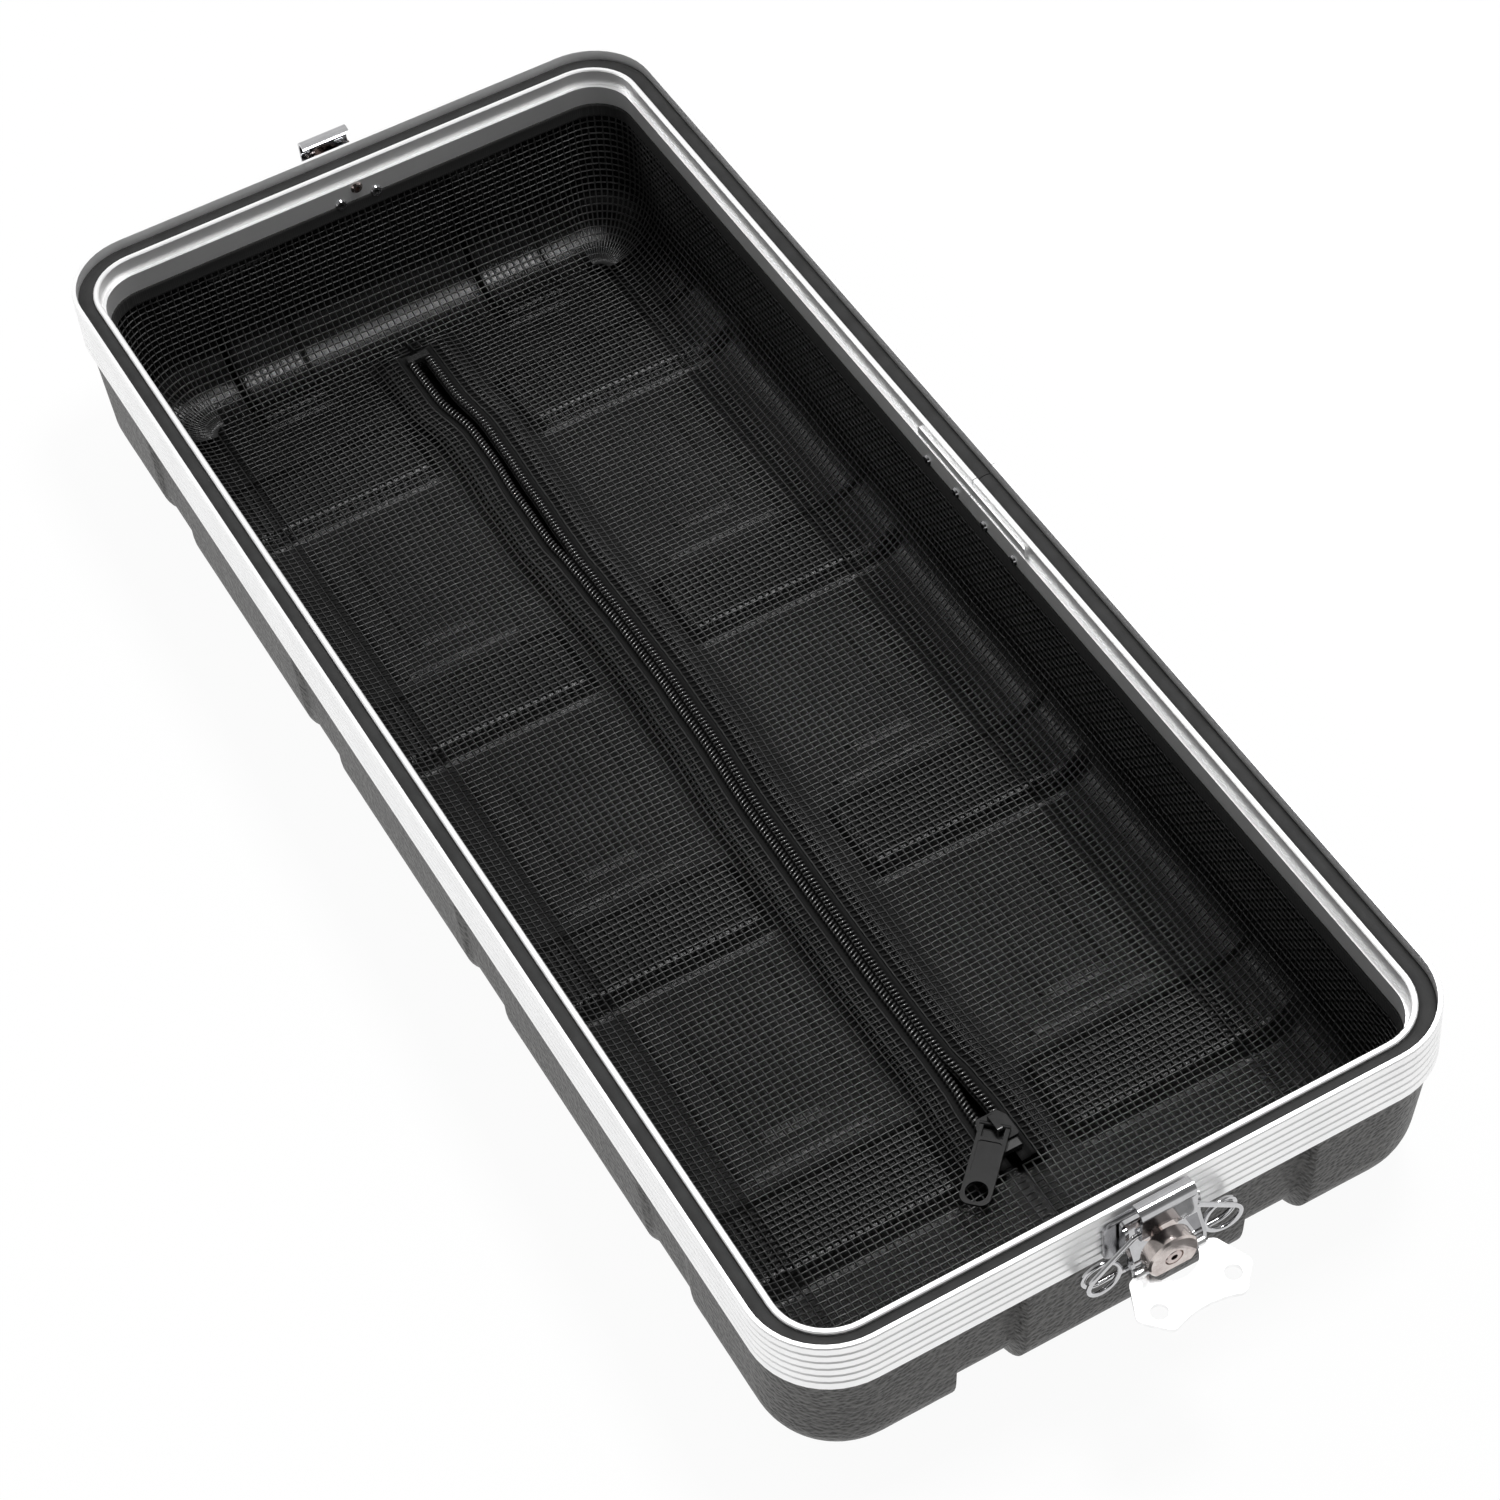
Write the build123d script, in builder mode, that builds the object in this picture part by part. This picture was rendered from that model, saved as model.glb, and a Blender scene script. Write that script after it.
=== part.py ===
"""Lift-off cover of a moulded rack case: plastic shell, aluminium rim, net with zip, two butterfly latches.

Millimetres, +Z up. The cover lies on its back, open side up. The origin is the centre of the
resting face, +X runs along the cover to the end whose latch handle is folded out.
"""

import os
from math import acos, atan, atan2, cos, degrees, hypot, radians, sin, sqrt, tan

from build123d import *

os.makedirs("parts", exist_ok=True)

# Rim: a tongue that enters the mating case, on an aluminium extrusion
rim_length = 536.2  # over the outer faces
rim_width = 230.0
rim_height = 78.0  # resting face to the top of the outer wall
rim_corner = 26.6  # outer corner radius
outer_wall = 1.6
wall_above_tongue = 3.0
band_depth = 18.0  # how far the outer wall reaches below the tongue top
tongue_thickness = 2.0
tongue_to_outer = 8.1  # tongue centreline to the outer face
web_top = 6.0  # depth of the web that carries the gasket
web_thickness = 2.0
ledge_depth = 6.7
ledge_width = 1.4
leg_wall = 1.2
leg_outer = 2.3  # outer side of the hollow inner leg, from the tongue centreline
groove_count = 5
groove_depth = 0.5
groove_width = 1.1
edge_break = 0.4
joint_gap = 0.3  # butt joint of the bent extrusion, on the +Y side
rim_bend_clearance = 0.05

# Gasket
gasket_drop = 0.5  # gasket crown below the tongue top
gasket_crown = 0.8

# Shell
shell_wall = 4.0
shell_end_draft = 6.0  # taken in at each short end over the drafted height
shell_side_draft = 1.0
shell_edge_radius = 25.0
shell_corner_bottom = 29.0
shell_top_clearance = 0.1
rib_places = (-183.0, -61.0, 61.0, 183.0)
rib_height = 4.5
rib_side_depth = 1.5
rib_width = 36.0
rib_slope = 7.0
spine_half_width = 17.0  # the middle strip of the floor has no ribs
spine_slope = 5.0
section_margin = 0.5  # a plain section stands this far off the form that it trims
cut_margin = 1.0  # how far a cut runs past the face that it opens
recess_offset = 49.5  # end recesses, either side of the latch
recess_width = 24.0
recess_depth = 3.7
recess_slope = 2.0
recess_under_floor = 34.0  # how far a recess runs in under the floor
collar_lip = 1.5  # the collar starts this far below the band
recess_lip_slope = 5.0
recess_radius_loss = 2.0
pad_height = 0.8
pad_margin = 12.0
pad_step = 11.0
pad_corner = 4.0

# Splice plate and its rivets, over the butt joint
splice_length = 68.0
splice_thickness = 1.0
splice_height = 4.0
splice_corner = 1.0
splice_bar_height = 6.5
splice_bar_thickness = 1.0
splice_rivet_spacing = 18.35
splice_rivet_count = 4
splice_rivet_depth = 13.3
splice_rivet_radius = 1.3
splice_rivet_head = 1.9
splice_rivet_bore_depth = 1.5

# Net
net_thickness = 0.6
net_level = 65.3  # depth of the flat net's upper face below the tongue top
hem_top = 14.5
hem_height = 5.5
hem_clearance = 0.3  # round each rivet end
net_end_draft = 6.0
net_side_draft = 1.8
net_edge_radius = 22.0
net_flat_corner = 4.0
net_columns = 25
net_rows = 4
net_strand = 1.6
seam_overlap = 6.0

# Zip
zip_start = -221.0  # far end stop
zip_end = 196.0  # near end stop
zip_gap = 4.6
zip_side = -2.0  # how far the zip lies off the cover's middle
tape_tail = 4.0
tape_width = 10.5
tape_thickness = 0.6
coil_width = 2.2
coil_height = 1.5
stop_length = 3.0
stop_height = 2.1
stop_round = 0.7
slider_length = 11.0
slider_wing = 1.2
slider_clearance = 0.3
slider_lip = 0.6
slider_neck = 5.6
slider_taper = 3.0
slider_taper_share = 0.7
slider_corner = 1.0
bridge_length = 7.0
bridge_post = 1.1
bridge_play = 0.25
bridge_width = 1.8
bridge_height = 3.1
bridge_bar = 0.9
puller_length = 29.0
puller_width = 9.7
puller_thickness = 1.0
puller_bar_radius = 0.8
puller_arm = 1.4
puller_border = 1.1
puller_end_radius = 3.2
puller_panel_sunk = 0.35
puller_hole = 7.2
puller_eye = 5.0
puller_skew = -45.0  # the puller has flopped to one side
puller_droop = 2.5

# Latches, one per short end; heights from the drum axis, u is the distance out from the rim face
drum_axis_depth = 9.5
pivot_radius = 1.5
pivot_head_radius = 3.0
pivot_head_height = 0.9
pivot_bore = 1.1
pivot_bore_depth = 3.0
base_width = 30.0
base_below = 8.4
base_above = 8.0
base_thickness = 1.5
base_corner = 3.0
plate_chamfer = 0.3
base_rivet_spread = 7.1
base_rivet_drop = 4.9
rivet_radius = 1.5
rivet_head_radius = 2.2
rivet_head_height = 0.5
rivet_head_taper = 40.0
rivet_clinch_taper = 25.0
rivet_bore_depth = 3.0
rivet_clinch = 0.8
clinch_radius = 2.3
rivet_bore = 0.9
running_clearance = 0.05
boss_below_link = 0.2
boss_above_link = 0.1
eccentricity = 3.5
boss_radius = 6.5
collar_radius = 7.6
collar_thickness = 0.8
neck_radius = 2.3
disc_radius = 8.3
disc_start = 10.0
disc_thickness = 5.0
disc_flat = 5.8  # the disc is cut flat beside the handle pin
disc_chamfer = 0.6
link_gap = 0.9
link_thickness = 1.4
link_half_width = 12.6
link_top = 7.0
link_bottom = 15.0
link_flange = 1.2
flange_low_reach = 9.0
flange_high_reach = 5.7
tab_half_width = 6.0
link_corner = 1.5
flange_step = 5.0
flange_round = 1.4
wire_radius = 0.8
ring_radius = 5.7
ring_centre_y = 20.0
ring_centre_z = -11.5
ring_start_u = 3.1
ring_steps = 3
gap_samples = 240
wire_top_u = 7.0
wire_top_z = 3.8
wire_bend_y = 10.4
wire_bend_radius = 2.2
wire_end_y = 6.6
knuckle_wall = 1.1
hook_thickness = 1.2
hook_half_width = 9.25
hook_rise = 15.4
hook_lean = 0.5
hook_lip = 4.4
hook_lip_drop = 1.3
hook_ridge_radius = 1.7
left_knuckle_inner = -6.2
right_knuckle_inner = 2.7
notch_top = 6.3
pin_offset = 3.8
pin_radius = 1.1
pin_u = 12.5
handle_thickness = 1.5
handle_reach = 21.2
handle_half_width = 19.4
handle_shoulder = 13.0
handle_waist = 14.6
handle_waist_p = 1.5
handle_ear_inner = 8.8
handle_ear_outer = 11.5
handle_ear_radius = 2.0
handle_cut_radius = 8.7
handle_cut_centre = -0.7
handle_hole_radius = 2.75
handle_hole_p = 13.7
handle_hole_q = 12.35
handle_notch_depth = 2.6
handle_notch_half_width = 12.0
handle_round = 2.5
near_cam_angle = 50.0
far_cam_angle = -25.0

# Places that follow from the sizes above
tongue_top = rim_height - wall_above_tongue
tongue_length = rim_length - 2 * tongue_to_outer
tongue_width = rim_width - 2 * tongue_to_outer
tongue_corner = rim_corner - tongue_to_outer
half_tongue = tongue_thickness / 2
wall_inside = tongue_to_outer - outer_wall
leg_inside = -half_tongue - ledge_width
band_bottom = tongue_top - band_depth
shell_top = tongue_top - web_top - web_thickness - shell_top_clearance
shell_offset = wall_inside - rim_bend_clearance
floor_top = shell_wall
net_top = tongue_top - net_level
net_bottom = net_top - net_thickness
hem_low = tongue_top - hem_top - hem_height
tape_top = net_top + tape_thickness
coil_top = tape_top + coil_height
axis_height = tongue_top - drum_axis_depth
inner_face_u = leg_inside - tongue_to_outer


def rounded(offset, extra_x=0.0, extra_y=0.0, corner=None, mode=Mode.ADD):
    """Rounded rectangle round the opening, at an offset from the tongue centreline."""
    radius = tongue_corner + offset if corner is None else corner
    length = tongue_length + 2 * (offset + extra_x)
    width = tongue_width + 2 * (offset + extra_y)
    return RectangleRounded(length, width, radius, mode=mode)


def bent_round(section):
    """A section run round the rim in straights and bends, open at the butt joint on the +Y side."""
    x = tongue_length / 2
    y = tongue_width / 2
    bend_x = x - tongue_corner
    bend_y = y - tongue_corner
    half_joint = joint_gap / 2
    straights = (
        ((half_joint, y), (1, 0), bend_x - half_joint, (bend_x, bend_y)),
        ((x, bend_y), (0, -1), 2 * bend_y, (bend_x, -bend_y)),
        ((bend_x, -y), (-1, 0), 2 * bend_x, (-bend_x, -bend_y)),
        ((-x, -bend_y), (0, 1), 2 * bend_y, (-bend_x, bend_y)),
        ((-bend_x, y), (1, 0), bend_x - half_joint, None),
    )
    with BuildPart() as strip:
        for start, heading, length, centre in straights:
            plane = Plane(
                origin=(*start, tongue_top), x_dir=(-heading[1], heading[0], 0), z_dir=(*heading, 0)
            )
            extrude(section(plane), amount=length)
            if centre:
                revolve(section(plane.offset(length)), axis=Axis((*centre, 0), (0, 0, -1)), revolution_arc=90)
    return strip.part


def end_plane(side):
    """Plane on the rim's end face, origin on the drum axis, y up, normal outward."""
    return Plane(
        origin=(side * rim_length / 2, 0, axis_height), x_dir=(0, side, 0), z_dir=(side, 0, 0)
    )


def section_plane(side, y=0.0):
    """Plane across the latch: x is u, y is height from the drum axis, normal along the latch's -y."""
    return Plane(
        origin=(side * rim_length / 2, side * y, axis_height), x_dir=(side, 0, 0), z_dir=(0, -side, 0)
    )


splice_plane = Plane(
    origin=(0, tongue_width / 2 + leg_inside, tongue_top), x_dir=(1, 0, 0), z_dir=(0, -1, 0)
)
splice_half_count = (splice_rivet_count - 1) / 2
splice_rivet_x = [(n - splice_half_count) * splice_rivet_spacing for n in range(splice_rivet_count)]
splice_rivet_points = [(x, -splice_rivet_depth) for x in splice_rivet_x]
latch_rivet_points = [(-base_rivet_spread, -base_rivet_drop), (base_rivet_spread, -base_rivet_drop)]

def rim_section(plane):
    """Cross section of the rim: x outward from the tongue's centreline, y up from its top."""
    pitch = (band_depth + wall_above_tongue) / (groove_count + 1)
    outer_points = [
        (tongue_to_outer - edge_break, wall_above_tongue),
        (tongue_to_outer, wall_above_tongue - edge_break),
    ]
    for n in range(1, groove_count + 1):
        middle = wall_above_tongue - n * pitch
        outer_points += [
            (tongue_to_outer, middle + groove_width / 2),
            (tongue_to_outer - groove_depth, middle),
            (tongue_to_outer, middle - groove_width / 2),
        ]
    with BuildSketch(plane) as section:
        with BuildLine():
            Polyline(
                (-half_tongue, -ledge_depth),
                (-half_tongue, -edge_break),
                (edge_break - half_tongue, 0),
                (half_tongue - edge_break, 0),
                (half_tongue, -edge_break),
                (half_tongue, -web_top),
                (wall_inside, -web_top),
                (wall_inside, wall_above_tongue),
                *outer_points,
                (tongue_to_outer, -band_depth),
                (wall_inside, -band_depth),
                (wall_inside, -web_top - web_thickness),
                (leg_outer, -web_top - web_thickness),
                (leg_outer, -band_depth),
                (leg_inside, -band_depth),
                (leg_inside, -ledge_depth),
                close=True,
            )
        make_face()
        chamber_top = -web_top - web_thickness
        chamber_bottom = leg_wall - band_depth
        with Locations(((leg_inside + leg_outer) / 2, (chamber_top + chamber_bottom) / 2)):
            Rectangle(leg_outer - leg_inside - 2 * leg_wall, chamber_top - chamber_bottom, mode=Mode.SUBTRACT)
    return section.sketch


def gasket_section(plane):
    """Cross section of the gasket, with a domed crown."""
    inner = half_tongue + rim_bend_clearance
    outer = wall_inside - rim_bend_clearance
    shoulder = -gasket_drop - gasket_crown
    with BuildSketch(plane) as section:
        with BuildLine():
            Polyline((inner, shoulder), (inner, -web_top), (outer, -web_top), (outer, shoulder))
            ThreePointArc((outer, shoulder), ((inner + outer) / 2, -gasket_drop), (inner, shoulder))
        make_face()
    return section.sketch


# Rim extrusion, bent round and butted on the +Y side
with BuildPart() as rim_extrusion:
    add(bent_round(rim_section))
    for side in (1, -1):
        with BuildSketch(end_plane(side).offset(cut_margin)):
            with Locations(*latch_rivet_points):
                Circle(rivet_radius + running_clearance)
            with Locations((0, 0)):
                Circle(pivot_radius + running_clearance)
        extrude(amount=inner_face_u - 2 * cut_margin, mode=Mode.SUBTRACT)
    with BuildSketch(splice_plane.offset(cut_margin)):
        with Locations(*splice_rivet_points):
            Circle(splice_rivet_radius + running_clearance)
    extrude(amount=-leg_wall - 2 * cut_margin, mode=Mode.SUBTRACT)
rim_extrusion.part.label = "rim_extrusion"

# Gasket, a domed strip between the tongue and the outer wall
with BuildPart() as gasket:
    add(bent_round(gasket_section))
gasket.part.label = "gasket"


def tray(inset):
    """The shell's form without ribs: collar under the rim, drafted walls, rounded bottom edge."""
    collar = shell_offset - inset
    bottom = shell_wall if inset else 0.0
    top = shell_top + cut_margin if inset else shell_top
    with BuildPart() as form:
        with BuildSketch(Plane.XY.offset(bottom)):
            rounded(collar, -shell_end_draft, -shell_side_draft, shell_corner_bottom - inset)
        with BuildSketch(Plane.XY.offset(band_bottom)):
            rounded(collar)
        loft(ruled=True)
        fillet(form.edges().group_by(Axis.Z)[0], shell_edge_radius - inset)
        with BuildSketch(Plane.XY.offset(band_bottom)):
            rounded(collar)
        extrude(amount=top - band_bottom)
    return form.part


def rib_section(x, inset, depth):
    """Cross section of the ribbed form at x, seen along the cover. Depth runs from 0, plain, to 1, ribbed."""
    outside = section_margin * (1 - depth)
    side = tongue_width / 2 + shell_offset - inset + outside - depth * rib_side_depth
    low = inset - section_margin
    raised = inset - outside + depth * rib_height
    radius = shell_edge_radius - inset - depth * (rib_height - rib_side_depth)
    top = tongue_top + section_margin
    collar = tongue_width / 2 + shell_offset - inset + section_margin
    lip = band_bottom - collar_lip
    with BuildSketch(Plane.YZ.offset(x)) as section:
        with BuildLine():
            Polyline((-collar, top), (-collar, lip), (-side, lip - rib_side_depth), (-side, raised + radius))
            RadiusArc((-side, raised + radius), (-side + radius, raised), -radius)
            Polyline(
                (-side + radius, raised),
                (-spine_half_width - spine_slope, raised),
                (-spine_half_width, low),
                (spine_half_width, low),
                (spine_half_width + spine_slope, raised),
                (side - radius, raised),
            )
            RadiusArc((side - radius, raised), (side, raised + radius), -radius)
            Polyline((side, raised + radius), (side, lip - rib_side_depth), (collar, lip), (collar, top))
            Line((collar, top), (-collar, top))
        make_face()
    return section.sketch


def ribbed_form(inset):
    """The shell's cross section drawn along X, drawn in at each transverse rib."""
    grow = inset * tan(atan(rib_height / rib_slope) / 2)
    stations = [(-rim_length / 2, 0)]
    for x in rib_places:
        half = rib_width / 2 + grow
        stations += [(x - half, 0), (x - half + rib_slope, 1), (x + half - rib_slope, 1), (x + half, 0)]
    stations.append((rim_length / 2, 0))
    sections = [rib_section(x, inset, depth) for x, depth in stations]
    with BuildPart() as form:
        loft(sections, ruled=True)
    return form.part


def recess_section(y, inset, depth):
    """Long section of the form with the end recesses, at y. Depth runs from 0, plain, to 1, recessed."""
    collar = tongue_length / 2 + shell_offset - inset + section_margin
    outside = section_margin * (1 - depth) - depth * recess_depth
    low = inset - 2 * section_margin
    wall_top = tongue_length / 2 + shell_offset - inset + outside
    raised = inset - outside
    inward = tongue_length / 2 - recess_under_floor
    lip = band_bottom - collar_lip
    half = [
        (0, low),
        (inward - recess_depth, low),
        (inward, raised),
        (wall_top - shell_end_draft, raised),
        (wall_top - shell_end_draft * recess_lip_slope / band_bottom, lip - recess_lip_slope),
        (collar, lip),
        (collar, tongue_top + section_margin),
    ]
    radius = shell_edge_radius - inset - depth * recess_radius_loss
    radii = [radius if point == half[3] else 0 for point in half]
    with BuildSketch(Plane.XZ.offset(-y)) as section:
        with BuildLine():
            FilletPolyline(
                *half,
                *[(-x, z) for x, z in reversed(half[1:])],
                radius=radii + list(reversed(radii[1:])),
                close=True,
            )
        make_face()
    return section.sketch


def recessed_form(inset):
    """The shell's long section drawn across Y, drawn in at the two recesses in each end."""
    grow = inset * tan(atan(recess_depth / recess_slope) / 2)
    half = recess_width / 2 + grow
    stations = [(-rim_width / 2, 0)]
    for y in (-recess_offset, recess_offset):
        stations += [(y - half, 0), (y - half + recess_slope, 1), (y + half - recess_slope, 1), (y + half, 0)]
    stations.append((rim_width / 2, 0))
    sections = [recess_section(y, inset, depth) for y, depth in stations]
    with BuildPart() as form:
        loft(sections, ruled=True)
    return form.part


def drill(piece_plane, points, radius, depth):
    """Round holes through the piece being built, from a plane, inward."""
    with BuildSketch(piece_plane) as holes:
        with Locations(*points):
            Circle(radius)
    extrude(holes.sketch, amount=-depth, mode=Mode.SUBTRACT)


# Shell
outer_form = [tray(0), ribbed_form(0), recessed_form(0)]
inner_form = [tray(shell_wall), ribbed_form(shell_wall), recessed_form(shell_wall)]
with BuildPart() as shell_cavity:
    add(inner_form[0])
    add(inner_form[1], mode=Mode.INTERSECT)
    add(inner_form[2], mode=Mode.INTERSECT)
with BuildPart() as shell:
    add(outer_form[0])
    add(outer_form[1], mode=Mode.INTERSECT)
    add(outer_form[2], mode=Mode.INTERSECT)
    add(shell_cavity.part, mode=Mode.SUBTRACT)
    pad_low = spine_half_width + spine_slope + pad_margin / 2
    pad_high = tongue_width / 2 - shell_edge_radius - pad_margin / 2
    for level in range(2):
        with BuildSketch(Plane.XY.offset(floor_top + level * pad_height)):
            for left, right in zip(rib_places, rib_places[1:]):
                reach = (right - left - rib_width) / 2 - pad_margin / 2 - level * pad_step
                across = (pad_high - pad_low) / 2 - level * pad_step
                for sign in (-1, 1):
                    with Locations(((left + right) / 2, sign * (pad_low + pad_high) / 2)):
                        RectangleRounded(2 * reach, 2 * across, pad_corner)
        extrude(amount=pad_height)
    for side in (1, -1):
        drill(end_plane(side), latch_rivet_points, rivet_radius + running_clearance, -inner_face_u)
        drill(end_plane(side), [(0, 0)], pivot_radius + running_clearance, -inner_face_u)
shell.part.label = "shell"

# Splice at the butt joint: a strip on the ledge, a bar inside the hollow leg, and four rivets
with BuildPart() as splice_plate:
    with BuildSketch(Plane.XY.offset(tongue_top - ledge_depth)):
        with Locations((0, tongue_width / 2 - half_tongue - splice_thickness / 2)):
            Rectangle(splice_length, splice_thickness)
    extrude(amount=splice_height)
    fillet(splice_plate.edges().filter_by(Axis.Y).group_by(Axis.Z)[-1], splice_corner)
splice_plate.part.label = "splice_plate"

with BuildPart() as splice_bar:
    with BuildSketch(splice_plane.offset(-leg_wall)):
        with Locations((0, -splice_rivet_depth)):
            RectangleRounded(splice_length, splice_bar_height, splice_corner)
            with Locations([(x, 0) for x in splice_rivet_x]):
                Circle(splice_rivet_radius + running_clearance, mode=Mode.SUBTRACT)
    extrude(amount=-splice_bar_thickness)
splice_bar.part.label = "splice_bar"

with BuildPart() as splice_rivets:
    with BuildSketch(splice_plane):
        with Locations(*splice_rivet_points):
            Circle(splice_rivet_radius)
    extrude(amount=-leg_wall - splice_bar_thickness)
    with BuildSketch(splice_plane):
        with Locations(*splice_rivet_points):
            Circle(splice_rivet_head)
    extrude(amount=rivet_clinch, taper=rivet_clinch_taper)
    drill(splice_plane.offset(rivet_clinch), splice_rivet_points, rivet_bore, splice_rivet_bore_depth)
splice_rivets.part.label = "splice_rivets"

# Net: a hem band on the rim's leg, a draped skirt and two flat panels, joined by the zip
with BuildPart() as net_hem:
    with BuildSketch(Plane.XY.offset(hem_low)):
        rounded(leg_inside)
        rounded(leg_inside - net_thickness, mode=Mode.SUBTRACT)
    extrude(amount=hem_height)
    for side in (1, -1):
        drill(
            end_plane(side).offset(inner_face_u + cut_margin),
            latch_rivet_points + [(0, 0)],
            clinch_radius + hem_clearance,
            net_thickness + 2 * cut_margin,
        )
    drill(
        splice_plane.offset(net_thickness + cut_margin),
        splice_rivet_points,
        splice_rivet_head + hem_clearance,
        net_thickness + 2 * cut_margin,
    )
net_hem.part.label = "net_hem"

net_corner_bottom = net_edge_radius + net_flat_corner


def net_tray(inset):
    """Solid inside of the draped net, drawn in by an inset from its outer face."""
    with BuildPart() as form:
        with BuildSketch(Plane.XY.offset(net_bottom + inset)):
            rounded(leg_inside - inset, -net_end_draft, -net_side_draft, net_corner_bottom - inset)
        with BuildSketch(Plane.XY.offset(hem_low)):
            rounded(leg_inside - inset)
        loft(ruled=True)
        fillet(form.edges().group_by(Axis.Z)[0], net_edge_radius - inset)
    return form.part


net_outside = net_tray(0)
net_inside = net_tray(net_thickness)
with BuildPart() as net_side_skirt:
    add(net_outside)
    add(net_inside, mode=Mode.SUBTRACT)
    with BuildSketch(Plane.XY.offset(net_bottom - cut_margin)):
        rounded(leg_inside - net_edge_radius, -net_end_draft, -net_side_draft, net_flat_corner)
    extrude(amount=net_thickness + 2 * cut_margin, mode=Mode.SUBTRACT)
net_side_skirt.part.label = "net_side_skirt"

flat_half_length = tongue_length / 2 + leg_inside - net_edge_radius - net_end_draft
flat_half_width = tongue_width / 2 + leg_inside - net_edge_radius - net_side_draft
slit_half_width = zip_gap / 2 + tape_width - seam_overlap
mesh_high = flat_half_width - net_strand
mesh_reach = flat_half_length - net_flat_corner
column_pitch = 2 * mesh_reach / net_columns


def net_panel(sign):
    """One flat half of the net, on the side of the zip that sign gives, with its gaps."""
    mesh_low = zip_side + sign * (zip_gap / 2 + tape_width + net_strand)
    row_pitch = abs(sign * mesh_high - mesh_low) / net_rows
    with BuildPart() as panel:
        with BuildSketch(Plane.XY.offset(net_bottom)):
            rounded(leg_inside - net_edge_radius, -net_end_draft, -net_side_draft, net_flat_corner)
            with Locations((0, zip_side - sign * flat_half_width)):
                Rectangle(2 * flat_half_length, 2 * flat_half_width, mode=Mode.SUBTRACT)
            with Locations(((zip_start + zip_end) / 2, zip_side)):
                Rectangle(zip_end - zip_start + 2 * tape_tail, 2 * slit_half_width, mode=Mode.SUBTRACT)
            with Locations((0, (sign * mesh_high + mesh_low) / 2)):
                with GridLocations(column_pitch, row_pitch, net_columns, net_rows):
                    Rectangle(column_pitch - net_strand, row_pitch - net_strand, mode=Mode.SUBTRACT)
        extrude(amount=net_thickness)
    return panel.part


with BuildPart() as net_left_panel:
    add(net_panel(-1))
net_left_panel.part.label = "net_left_panel"

with BuildPart() as net_right_panel:
    add(net_panel(1))
net_right_panel.part.label = "net_right_panel"


def zip_tape(sign):
    """One woven tape of the zip, sewn on the net."""
    with BuildPart() as tape:
        with BuildSketch(Plane.XY.offset(net_top)):
            with Locations(((zip_start + zip_end) / 2, zip_side + sign * (zip_gap + tape_width) / 2)):
                Rectangle(zip_end - zip_start + 2 * tape_tail, tape_width)
        extrude(amount=tape_thickness)
    return tape.part


def zip_coil(sign):
    """One row of the zip's coil, sewn along the tape's inner edge, as its envelope."""
    inner = zip_side + sign * zip_gap / 2
    outer = zip_side + sign * (zip_gap / 2 + coil_width)
    with BuildPart() as coil:
        with BuildSketch(Plane.YZ.offset(zip_start + stop_length)):
            shoulder = tape_top + coil_height / 2
            with BuildLine():
                Polyline((inner, shoulder), (inner, tape_top), (outer, tape_top), (outer, shoulder))
                ThreePointArc((outer, shoulder), ((inner + outer) / 2, coil_top), (inner, shoulder))
            make_face()
        extrude(amount=zip_end - zip_start - 2 * stop_length)
    return coil.part


with BuildPart() as zip_tape_left:
    add(zip_tape(-1))
zip_tape_left.part.label = "zip_tape_left"

with BuildPart() as zip_tape_right:
    add(zip_tape(1))
zip_tape_right.part.label = "zip_tape_right"

with BuildPart() as zip_coil_left:
    add(zip_coil(-1))
zip_coil_left.part.label = "zip_coil_left"

with BuildPart() as zip_coil_right:
    add(zip_coil(1))
zip_coil_right.part.label = "zip_coil_right"

with BuildPart() as zip_end_stops:
    with BuildSketch(Plane.XY.offset(tape_top)):
        with Locations((zip_start + stop_length / 2, zip_side), (zip_end - stop_length / 2, zip_side)):
            Rectangle(stop_length, zip_gap + 2 * coil_width)
    extrude(amount=stop_height)
    fillet(zip_end_stops.edges().filter_by(Axis.X).group_by(Axis.Z)[-1], stop_round)
zip_end_stops.part.label = "zip_end_stops"

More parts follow.
